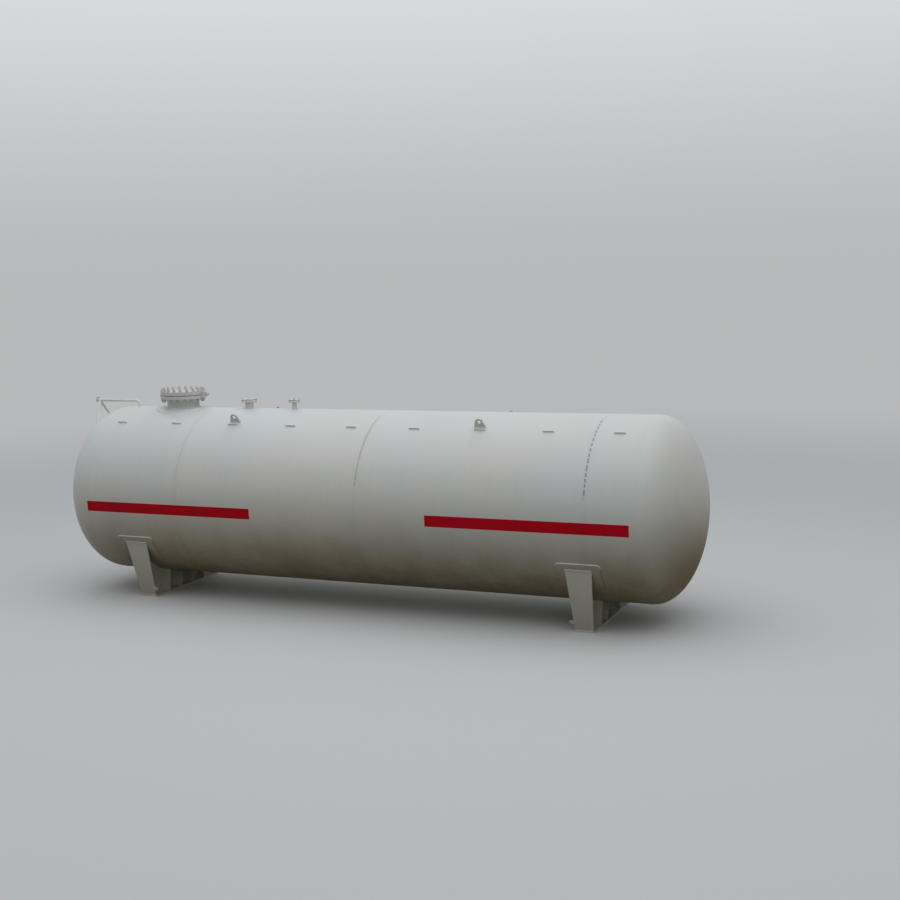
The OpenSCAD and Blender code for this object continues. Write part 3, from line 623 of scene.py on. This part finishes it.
def hex_nut(flats, height, bore):
    """A hexagon nut round its bore, with both faces chamfered."""
    angles, side, rim, cut = hexagon(flats)
    hole = np.full_like(side, bore)
    radii = np.stack([hole, rim, side, side, rim, hole], -1)
    heights = np.stack([0 * cut, 0 * cut, cut, height - cut, height + 0 * cut, height + 0 * cut], -1)
    return lathe(np.stack([radii, heights], -1), angles)


def hex_head(flats, height):
    """The head of a hexagon bolt, with its upper face chamfered."""
    angles, side, rim, cut = hexagon(flats)
    radii = np.stack([side, side, rim])
    heights = np.stack([0 * cut, height - cut, height + 0 * cut])
    return np.stack([radii * np.cos(angles), radii * np.sin(angles), heights], -1)


def washer(outside, inside, height):
    """A flat ring with a small chamfer on its upper rim."""
    angles = np.radians(np.arange(0, 360, 15))
    low, edge = height * 3 / 4, outside - height / 4
    profile = np.array([(inside, 0), (outside, 0), (outside, low), (edge, height), (inside, height)])
    return lathe(np.broadcast_to(profile, (len(angles), *profile.shape)), angles)


def threaded_rod(radius, pitch, length, shown):
    """A rod with a thread: its radius falls from the crest by 0.61 pitches and rises again once a
    turn, as the height over the pitch less the angle over a turn says. Its two ends have four
    rings a pitch as far as they show, and a chamfer of 45 degrees."""
    near = np.arange(0, shown, pitch / 4)
    height = np.concatenate([near, length - near[::-1]])[:, None]
    angles = np.radians(np.arange(0, 360, 22.5))
    place = (height / pitch - angles / (2 * np.pi)) % 1
    ridge = radius - 0.61 * pitch * (1 - np.abs(2 * place - 1))
    ridge = np.minimum(ridge, radius - 0.75 * pitch + np.minimum(height, length - height))
    return np.stack([ridge * np.cos(angles), ridge * np.sin(angles), height + 0 * ridge], -1)


def spread(grid, places, *heights):
    """Copies of a body at places on the ground plan, at each of the heights: every copy is turned
    about its own axis by its number times 2.4 radians."""
    turn = 2.4 * np.arange(len(places))[:, None, None]
    x = grid[..., 0] * np.cos(turn) - grid[..., 1] * np.sin(turn) + places[:, :1, None]
    y = grid[..., 0] * np.sin(turn) + grid[..., 1] * np.cos(turn) + places[:, 1:, None]
    return np.concatenate([np.stack([x, y, grid[..., 2] + height + 0 * x], -1) for height in heights])


def bolting(name, x, circle, holes, size, under, over, every=1, head=0.0):
    """Stud bolts through a flange and its cover, each with a washer and a nut at both ends. With a
    head's height they are bolts with their heads on top. Their places lie on the bolt circle, at
    the angle of a hole's number and a half over the number of holes."""
    thread, flats, nut_height, pitch, washer_radius, washer_height, spare = size
    at = (np.arange(0, holes, every) + 0.5) * 2 * np.pi / holes
    places = np.stack([x + circle / 2 * np.cos(at), circle / 2 * np.sin(at)], -1)
    stack = nut_height + washer_height + spare
    nut = hex_nut(flats, nut_height, thread / 2 * nut_bore)
    disc = washer(washer_radius, thread / 2 * washer_bore, washer_height)
    low_nut = under - washer_height - nut_height
    if head:
        top = washer_height + head / 2
        heads = spread(hex_head(flats, head), places, over + washer_height)
        bodies = [(heads, False), (spread(nut, places, low_nut), True)]
    else:
        top = stack
        bodies = [(spread(nut, places, low_nut, over + washer_height), True)]
    rod = threaded_rod(thread / 2, pitch, over - under + stack + top, spare + 2 * pitch)
    bodies += [
        (spread(rod, places, under - stack), False),
        (spread(disc, places, over), True),
        (spread(disc * np.array([1, 1, -1]), places, under), True),
    ]
    return piece(name, bodies, stud_finish)


stud_finish, tree, shader, place = new_finish("stud_steel")
sprayed = fade(speckle(place, 45, detail=4), 0.30, 0.52)
paint = tint(linear(sprayed, 0.4, 0.6), stud_steel, flange_white)
feed(shader.inputs["Metallic"], linear(sprayed, -0.35, 0.35))
coat(shader, paint, rust_where=0.16, rust_size=90, roughness=0.42, Top=fitting_dust)


def forged_finish(name, colour):
    """Paint over forged steel: thin in places, and pitted as the scale under it is."""
    finish, tree, shader, place = new_finish(name)
    thin = fade(speckle(place, 11, detail=4), 0.45, 0.75)
    paint = tint(product(thin, 0.3), colour, forged_grey)
    pits = product(speckle(place, 130, detail=4), 0.0005)
    coat(shader, paint, rust_where=0.14, rust_size=48, relief=pits, roughness=0.42, Top=fitting_dust)
    return finish


flange_finish = forged_finish("flange_paint", flange_white)

gasket_finish, tree, shader, place = new_finish("gasket_fibre")
fibres = speckle(stretched(place, (900, 900, 120)), 1.0)
feed(shader.inputs["Base Color"], tint(fibres, (0.15, 0.15, 0.15, 1), (0.27, 0.265, 0.255, 1)))
shader.inputs["Roughness"].default_value = 0.85


def bead_finish(name, colour, **dirt_and_shade):
    """Paint over a bead that was laid by hand, with its ripples along the run map."""
    finish, tree, shader, place = new_finish(name)
    on_bead = split(new_node(tree, "ShaderNodeUVMap", uv_map="run").outputs[0])
    relief = use(tree, weld_ripples, Run=on_bead[0], Across=on_bead[1], Pitch=0.004)["Height"]
    spatter = product(fade(speckle(place, 30, detail=3), 0.5, 0.7), 0.35)
    paint = tint(spatter, colour, primed_grey)
    coat(shader, paint, rust_where=0.10, rust_size=50, relief=relief, roughness=0.45, **dirt_and_shade)
    return finish


shell_bead_finish = bead_finish(
    "shell_bead_paint", off_white, Top=0.2, Low=0.5, Low_From=axis_height, Low_To=0.3, Splash=0.3
)

finish_nodes(shell_finish, "manway_pad", "manway_neck")
finish_nodes(flange_finish, "manway_flange", "manway_cover", "manway_hinge_plates", "manway_hinge_tongue")
finish_nodes(stud_finish, "manway_hinge_pin")
finish_nodes(gasket_finish, "flange_gaskets")

neck_low, neck_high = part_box("manway_neck")
neck_radius = (neck_high.x - neck_low.x) / 2
pad_top_radius = pad_high.z - axis_height
flange_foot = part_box("manway_flange")[0].z
manway_welds = [
    bead(*pipe_foot(manway_along, pad_radius, shell_radius), pad_fillet, closed=True),
    bead(*pipe_foot(manway_along, neck_radius, pad_top_radius), neck_fillet, closed=True),
    bead(*level_joint(manway_along, neck_radius, flange_foot), neck_cap, cap, closed=True),
]
piece("manway_welds", manway_welds, shell_bead_finish)
under, over = flange_foot + hub_length, cover_high.z
bolting("manway_bolts", manway_along, manway_bolt_circle, manway_holes, m30, under, over)


# The two small nozzles: a pipe set into the shell with a welding-neck flange, in a fresher white
# than the manway. A thin round plate on every second bolt closes each until its valve or pipe is
# fitted.
nozzle_holes = 8
nozzle_bolt_head = 0.010
nozzle_fillet = 0.008
nozzle_cap = 0.006
nozzle_step = 0.008
fresh_white_and_painted_light = (0.82, 0.83, 0.82, 1)
nozzle_finish = forged_finish("nozzle_flange_paint", fresh_white_and_painted_light)
nozzle_welds = []
for label, circle in (("safety_valve", 0.210), ("vapour", 0.145)):
    neck_low, neck_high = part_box(label + "_neck")
    along = (neck_low.x + neck_high.x) / 2
    radius = (neck_high.x - neck_low.x) / 2
    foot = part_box(label + "_flange")[0].z
    finish_nodes(shell_finish, label + "_neck")
    finish_nodes(nozzle_finish, label + "_flange", label + "_blind")
    nozzle_welds += [
        bead(*pipe_foot(along, radius, shell_radius, nozzle_step), nozzle_fillet, closed=True),
        bead(*level_joint(along, radius, foot, nozzle_step), nozzle_cap, cap, closed=True),
    ]
    under, over = foot + hub_length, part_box(label + "_blind")[1].z
    bolting(label + "_bolts", along, circle, nozzle_holes, m16, under, over, every=2, head=nozzle_bolt_head)
piece("nozzle_welds", nozzle_welds, shell_bead_finish)


# The lifting lugs: four thick plates with an eye, welded on all round. The eyes are rubbed bare from
# lifting, and rust has started there.
lug_thickness = 0.025
eye_height = 0.092
eye_radius = 0.030
lug_fillet = 0.012
# How far from the middle of an eye the bare steel starts and is full
rubbed_edge = (eye_radius + 0.017, eye_radius + 0.009)


def rounded_line(half_long, half_wide, corner_radius, spacing):
    """Closed line round a rectangle in its own plane, and the ways out from it: a quarter of a
    circle in four steps about each corner's centre, and even steps along the sides between."""
    lines, ways = [], []
    halves = np.array([half_long, half_wide]) - corner_radius
    for quarter in range(4):
        turn = np.radians(90 * quarter + np.linspace(0, 90, 5))
        way = np.stack([np.cos(turn), np.sin(turn)], -1)
        centre = np.sign(way[2]) * halves
        side_start = centre + corner_radius * way[-1]
        side_end = np.sign([-way[2][1], way[2][0]]) * halves + corner_radius * way[-1]
        count = max(2, int(np.linalg.norm(side_end - side_start) / spacing))
        share = np.linspace(0, 1, count, endpoint=False)[1:, None]
        lines += [centre + corner_radius * way, side_start + share * (side_end - side_start)]
        ways += [way, np.repeat(way[-1:], count - 1, axis=0)]
    return np.concatenate(lines), np.concatenate(ways)


def plate_foot(x, angle, width, thickness, spacing=bead_step):
    """Line round the foot of a plate that stands on the shell at an angle from the top: round a
    rectangle of its width along the tank and its thickness across, at the height
    sqrt(shell radius² - offset²). Also the ways out along the shell, and up the plate."""
    flat, outward = rounded_line(width / 2, thickness / 2, 0.0, spacing)
    along = np.array([1, 0, 0])
    across = np.array([0, math.cos(angle), -math.sin(angle)])
    up = np.array([0, math.sin(angle), math.cos(angle)])
    rise = np.sqrt(shell_radius**2 - flat[:, 1:] ** 2)
    path = np.array([x, 0, axis_height]) + flat[:, :1] * along + flat[:, 1:] * across + rise * up
    return path, outward[:, :1] * along + outward[:, 1:] * across, up


lug_finish, tree, shader, place = new_finish("lug_paint")
around = use(tree, tank_place)
aside = calc("SUBTRACT", calc("ABSOLUTE", around["Along"]), lug_along)
rise = calc("SUBTRACT", around["Out"], shell_radius + eye_height)
rubbed = linear(speckle(place, 70, detail=4), 0.014, distance(aside, rise))
rubbed = fade(rubbed, *rubbed_edge)
paint = tint(rubbed, off_white, stud_steel)
feed(shader.inputs["Metallic"], product(rubbed, 0.8))
rusty = linear(rubbed, 0.35, 0.25)
coat(shader, paint, rust_where=rusty, rust_size=55, roughness=0.42, Top=fitting_dust)
finish_nodes(lug_finish, "lifting_lugs")

lug_places = [(end * lug_along, side * lug_angle) for end in (-1, 1) for side in (-1, 1)]
lug_feet = [plate_foot(x, angle, lug_width, lug_thickness) for x, angle in lug_places]
lug_welds = [bead(*foot, lug_fillet, closed=True) for foot in lug_feet]
piece("lifting_lug_welds", lug_welds, shell_bead_finish)


# The pipe cleats: short flat bars on edge in a row along each side, for a sprinkler pipe. Each is
# welded on all round with a small fillet and has lost some paint on its corners.
cleat_thickness = 0.008
cleat_height = 0.025
cleat_fillet = 0.005
fresh_dust = 0.05

cleat_finish, tree, shader, place = new_finish("cleat_paint")
cleat_edge = shell_radius + cleat_height
outer = fade(use(tree, tank_place)["Out"], cleat_edge - 0.4 * cleat_height, cleat_edge)
rusty = linear(outer, 0.12, 0.02)
# The cleats take a whiter paint than the shell, painted light that lightens their shaded faces
coat(shader, fresh_white_and_painted_light, rust_where=rusty, rust_size=70, roughness=0.42, Top=fresh_dust)
finish_nodes(cleat_finish, "front_cleats", "back_cleats")

cleat_places = first_cleat + cleat_pitch * np.arange(cleat_count)
for label, angle in (("front", -cleat_angle), ("back", cleat_angle)):
    feet = [plate_foot(x, angle, cleat_length, cleat_thickness) for x in cleat_places]
    cleat_welds = [bead(*foot, cleat_fillet, closed=True) for foot in feet]
    piece(label + "_cleat_welds", cleat_welds, shell_bead_finish)


# The ladder frame: bent pipe with two struts and a stop plate, welded to the shell and to the head.
# It holds the top of a hook-on ladder, and the hooks have scraped the rail.
rail_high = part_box("ladder_rail")[1]
rail_pipe = 0.021
rail_axis = rail_high.z - rail_pipe
rail_foot = rail_high.x - rail_pipe
head_flange = 0.040
head_middle = np.array([seams[0] - head_flange, 0, axis_height])
head_depth = head_middle[0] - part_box("left_head")[0].x
head_halves = np.array([head_depth, shell_radius, shell_radius])
strut_top = np.array([seams[0] - 0.635, 0, rail_axis])
strut_foot_y = 0.310
strut_foot_rise = shell_radius - 0.396
ladder_fillet = 0.006
rail_step = 0.006
strut_step = 0.008

frame_finish, tree, shader, place = new_finish("ladder_frame_paint")
on_rail = fade(split(place)[2], rail_axis + 0.008, rail_axis + 0.019)
scrapes = fade(speckle(stretched(place, (40, 12, 0)), 1.0, detail=5), 0.52, 0.6)
scraped = product(on_rail, scrapes)
rusty = linear(scraped, 0.3, 0.03)
# The frame's whiter paint is partly its own and partly painted light on its shaded side
paint = tint(product(scraped, 0.6), fresh_white_and_painted_light, forged_grey)
coat(shader, paint, rust_where=rusty, roughness=0.40, Top=fresh_dust)
finish_nodes(frame_finish, "ladder_rail", "front_ladder_strut", "back_ladder_strut", "ladder_stop")


def strut_foot(side):
    """Line where a strut meets the head's ellipsoid: from each point of a circle round the strut's
    top, along the strut as far as the nearer root of the quadratic equation of line and sphere,
    after all is divided by the ellipsoid's half axes. Also the ways out along the head, and up the
    strut."""
    reach = head_depth * math.sqrt(1 - (strut_foot_y**2 + strut_foot_rise**2) / shell_radius**2)
    foot = head_middle + np.array([-reach, side * strut_foot_y, strut_foot_rise])
    way = unit(foot - strut_top)
    turn, cos, sin = ring(rail_pipe, strut_step)
    first = unit(np.cross(way, (0, 1, 0)))
    radial = cos[:, None] * first + sin[:, None] * np.cross(way, first)
    start = (strut_top + rail_pipe * radial - head_middle) / head_halves
    step = way / head_halves
    square, half_b = step @ step, start @ step
    run = (-half_b - np.sqrt(half_b**2 - square * ((start**2).sum(-1) - 1))) / square
    path = start + run[:, None] * step
    normal = unit(path / head_halves)
    out = radial - (radial * normal).sum(-1, keepdims=True) * normal
    return head_middle + path * head_halves, unit(out), -way


ladder_feet = [pipe_foot(rail_foot, rail_pipe, shell_radius, rail_step), strut_foot(-1), strut_foot(1)]
ladder_welds = [bead(*foot, ladder_fillet, closed=True) for foot in ladder_feet]
piece("ladder_welds", ladder_welds, shell_bead_finish)


# The saddles: a web with leaning end ribs and upright inner ribs on a base plate, under a curved
# wear plate. All are cut plate, welded on both sides. The wear plates were sprayed with the shell,
# the rest pale grey, and mud has splashed it.
saddle_grey = (0.66, 0.665, 0.62, 1)
saddle_chipped = (0.42, 0.42, 0.39, 1)
wear_half_length = 0.310
wear_thickness = 0.012
wear_corner = 0.050
wear_half_angle = math.radians(127 / 2)
cradle_half = math.radians(58)
plate_half = 0.006
end_rib_half = 0.007
end_rib_foot = 0.868
rib_foot_half = 0.130
rib_snipe = 0.030
wear_fillet = 0.011
plate_fillet = 0.008
rib_fillet = 0.007
rib_head_round = 0.010
web_bead_share = 0.96
chipped_height = 0.16
rim_band = 0.012
inner_rib_places = [-0.4875, -0.1625, 0.1625, 0.4875]
base_low, base_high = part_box("right_base_plate")
base_top = base_high.z
saddle_along = (base_low.x + base_high.x) / 2
base_half_width = (base_high.x - base_low.x) / 2
wear_radius = shell_radius + wear_thickness
rib_head_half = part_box("right_end_ribs")[1].x - saddle_along
rib_head_y = wear_radius * math.sin(cradle_half)
rib_head_z = axis_height - wear_radius * math.cos(cradle_half)
rib_lean = math.atan2(rib_head_y - end_rib_foot, rib_head_z - base_top)
rib_widening = (rib_head_half - rib_foot_half) / math.hypot(rib_head_y - end_rib_foot, rib_head_z - base_top)

saddle_finish, tree, shader, place = new_finish("saddle_paint")
spot = split(place)
from_web = apart(calc("ABSOLUTE", spot[0]), saddle_along)
past_long = calc("SUBTRACT", from_web, base_half_width)
past_wide = calc("SUBTRACT", calc("ABSOLUTE", spot[1]), base_high.y)
at_rim = fade(calc("MAXIMUM", past_long, past_wide), -rim_band, 0.0)
at_rim = product(at_rim, fade(spot[2], base_top + 0.004, base_top - 0.004))
near_floor = fade(spot[2], chipped_height, 0.0)
chips = fade(speckle(place, 38, detail=5, roughness=0.65), 0.60, 0.64)
chips = product(chips, linear(near_floor, 0.5, 0.1))
paint = tint(chips, saddle_grey, saddle_chipped)
# Painted highlight: the top rim of the base plate is lightened in patches
rim_highlight = product(at_rim, fade(speckle(place, 22, detail=4), 0.3, 0.5), 0.7)
paint = tint(rim_highlight, paint, off_white)
rusty = linear(near_floor, 0.18, 0.10)
saddle_dirt_and_shade = dict(Top=0.35, Low=0.30, Low_From=0.80, Low_To=0.0, Runs=0.08, Splash=0.22)
coat(shader, paint, rust_where=rusty, rust_size=42, roughness=0.42, **saddle_dirt_and_shade)
for side in ("left", "right"):
    finish_nodes(shell_finish, side + "_wear_plate")
    for part in ("saddle_web", "end_ribs", "inner_ribs", "base_plate"):
        finish_nodes(saddle_finish, side + "_" + part)
saddle_bead_finish = bead_finish("saddle_bead_paint", saddle_grey, **saddle_dirt_and_shade)
# The welds round the wear plates are clean along their top, a painted highlight, and darker just below it
wear_bead_finish = bead_finish(
    "wear_bead_paint", off_white, Top=0.1, Low=0.85, Low_From=0.99, Low_To=0.93, Splash=0.1
)
half_turn = np.radians(np.arange(0, 181, 30))
half_round = np.concatenate([np.stack([np.cos(half_turn), np.sin(half_turn)], -1), [(-1, -0.2), (1, -0.2)]])


def straight(start, end, spacing=0.02):
    """Places along a straight line."""
    start, end = np.array(start, float), np.array(end, float)
    count = max(3, int(np.linalg.norm(end - start) / spacing))
    return start + (end - start) * np.linspace(0, 1, count)[:, None]


def below_tank(x, angle, radius):
    """Places on a cylinder round the tank's axis, their angle counted from the bottom, + to the
    back. Also the ways round it and out from it."""
    path = np.stack(np.broadcast_arrays(x, radius * np.sin(angle), axis_height - radius * np.cos(angle)), -1)
    round_it = np.stack([0 * angle, np.cos(angle), np.sin(angle)], -1)
    outward = np.stack([0 * angle, np.sin(angle), -np.cos(angle)], -1)
    return path, round_it, outward


def wear_plate_edge(x):
    """Line round a wear plate on the shell: round a rectangle of its length and its arc, laid on
    the cylinder, so that the arc over the shell's radius is the angle from the bottom."""
    flat, way = rounded_line(wear_half_length, shell_radius * wear_half_angle, wear_corner, spacing=0.025)
    path, round_it, outward = below_tank(x + flat[:, 0], flat[:, 1] / shell_radius, shell_radius)
    return path, way[:, :1] * np.array([1, 0, 0]) + way[:, 1:] * round_it, outward


def web_beads(x, face):
    """Beads of one face of the web: to the wear plate, to the base plate and, nearly up to the wear
    plate, to the end ribs."""
    away = (face, 0, 0)
    x = x + face * plate_half
    arc, round_it, outward = below_tank(x, np.linspace(-cradle_half, cradle_half, 90), wear_radius)
    foot = straight((x, -end_rib_foot, base_top), (x, end_rib_foot, base_top))
    beads = [bead(arc, away, outward, plate_fillet), bead(foot, away, (0, 0, 1), plate_fillet)]
    inner = end_rib_foot - end_rib_half / math.cos(rib_lean)
    rise = (rib_head_z - base_top) * web_bead_share
    for side in (-1, 1):
        low = (x, side * inner, base_top)
        high = (x, side * (inner + rise * math.tan(rib_lean)), base_top + rise)
        beads.append(bead(straight(low, high), away, (0, -side, 0), rib_fillet))
    return beads


def inner_rib_beads(x, face, y, side):
    """Beads of one face of an inner rib: to the web, to the base plate and to the wear plate."""
    away = (face, 0, 0)
    beside = (0, side, 0)
    x = x + face * plate_half
    y = y + side * plate_half
    top = axis_height - math.sqrt(wear_radius**2 - y**2)
    along_plate = unit(np.array([0.0, side, side * y / (axis_height - top)]))
    head_half = rib_foot_half + rib_widening * (top - base_top)
    at_web = straight((x, y, base_top + rib_snipe), (x, y, top))
    foot_end = x + face * (rib_foot_half - plate_half)
    at_base = straight((x + face * rib_snipe, y, base_top), (foot_end, y, base_top))
    at_wear = straight((x, y, top), (x + face * (head_half - plate_half), y, top))
    return [
        bead(at_web, away, beside, rib_fillet),
        bead(at_base, beside, (0, 0, 1), rib_fillet),
        bead(at_wear, along_plate, (0, 0, -1), rib_fillet),
    ]


def end_rib_beads(x, side):
    """Beads of an end rib: of both faces to the base plate, and a round one over its head, where its
    outer face runs out on the wear plate. That is up from the middle of the head by half the rib
    over the tangent of the angle between the two."""
    up = np.array([0, side * math.sin(rib_lean), math.cos(rib_lean)])
    normal = np.array([0, side * math.cos(rib_lean), -math.sin(rib_lean)])
    run_out = end_rib_half / math.tan(math.pi / 2 - rib_lean - cradle_half)
    head = np.array([x, side * rib_head_y, rib_head_z]) + normal * end_rib_half + up * run_out
    half = np.array([rib_head_half, 0, 0])
    beads = [bead(straight(head - half, head + half), up, normal, rib_head_round, half_round)]
    for face in (-1, 1):
        y = side * (end_rib_foot + face * end_rib_half / math.cos(rib_lean))
        foot = straight((x - rib_foot_half, y, base_top), (x + rib_foot_half, y, base_top))
        beads.append(bead(foot, (0, side * face, 0), up, plate_fillet))
    return beads


for label, x in (("left", -saddle_along), ("right", saddle_along)):
    wear_bead = bead(*wear_plate_edge(x), wear_fillet, closed=True)
    piece(label + "_wear_welds", [wear_bead], wear_bead_finish)
    beads = []
    for way in (-1, 1):
        beads += web_beads(x, way) + end_rib_beads(x, way)
        for y in inner_rib_places:
            beads += inner_rib_beads(x, way, y, -1) + inner_rib_beads(x, way, y, 1)
    piece(label + "_saddle_welds", beads, saddle_bead_finish)


# The earthing lugs: small plates of stainless steel, welded to the front end ribs and left bare.
earth_finish, tree, shader, place = new_finish("earthing_steel")
brushed = speckle(stretched(place, (30, 900, 900)), 1.0)
shader.inputs["Metallic"].default_value = 0.6
steel = tint(brushed, (0.55, 0.55, 0.54, 1), (0.72, 0.72, 0.71, 1))
earth_dirt_and_shade = dict(Top=0.2, Low=0.15, Low_From=0.5, Low_To=0.0, Splash=0.3)
coat(shader, steel, rust_where=0.2, roughness=0.33, **earth_dirt_and_shade)
finish_nodes(earth_finish, "earthing_lugs")


# The red stripes: two on each side, sprayed between tapes over the shell and over the weld caps
# that they cross. They are the last paint that went on, and little dirt has stuck to them.
stripe_red = (0.60, 0.002, 0.016, 1)
stripe_worn = (0.40, 0.008, 0.015, 1)
stripe_width = 0.160
stripe_tops = {"left": 0.036, "right": 0.0}
stripe_ends = (1.41, 4.32)
cap_rise = 0.003
paint_rise = 0.0005
paint_root = 0.001
# Rows along a stripe, more of them over each weld cap, and points down its width
even_rows = 60
cap_rows = 25
width_points = 13

stripe_finish, tree, shader, place = new_finish("stripe_paint")
worn = product(fade(speckle(place, 3.5, detail=6), 0.45, 0.75), 0.5)
stripe_dirt_and_shade = dict(Low=0.03, Low_From=axis_height + 0.3, Low_To=0.4, Runs=0.03, Splash=0.1)
coat(shader, tint(worn, stripe_red, stripe_worn), roughness=0.32, **stripe_dirt_and_shade)
shader.inputs["Specular IOR Level"].default_value = 0.08


def stripe(end, side, top):
    """A thin shell of paint: its outside is the shell's radius plus the weld caps' rise plus the
    paint's own, over its length and its width round the shell, and its inside lies a little
    under the plate. Its top is so far below the axis, measured round the shell. A cap's rise is
    a parabola across the seam. Rows are closer together where a cap is crossed."""
    even = np.linspace(*stripe_ends, even_rows)
    close = [abs(seam) + np.linspace(-0.6, 0.6, cap_rows) * cap_width for seam in seams if seam * end > 0]
    x = end * np.unique(np.concatenate([even, *close]).clip(*stripe_ends))
    rise = sum(np.clip(cap_rise * (1 - ((x - seam) / (cap_width / 2)) ** 2), 0, None) for seam in seams)
    drop = np.linspace(top, top + stripe_width, width_points) / shell_radius
    outside = np.repeat((shell_radius + rise + paint_rise)[:, None], len(drop), axis=1)
    radius = np.concatenate([outside, np.full_like(outside, shell_radius - paint_root)], axis=1)
    drop = np.concatenate([drop, drop[::-1]])
    y = side * radius * np.cos(drop)
    z = axis_height - radius * np.sin(drop)
    return np.stack([np.broadcast_to(x[:, None], y.shape), y, z], -1)[None], False


for side_name, side in (("front", -1), ("back", 1)):
    for end_name, end in (("left", -1), ("right", 1)):
        paint_shell = stripe(end, side, stripe_tops[end_name])
        piece("_".join((side_name, end_name, "stripe")), [paint_shell], stripe_finish)
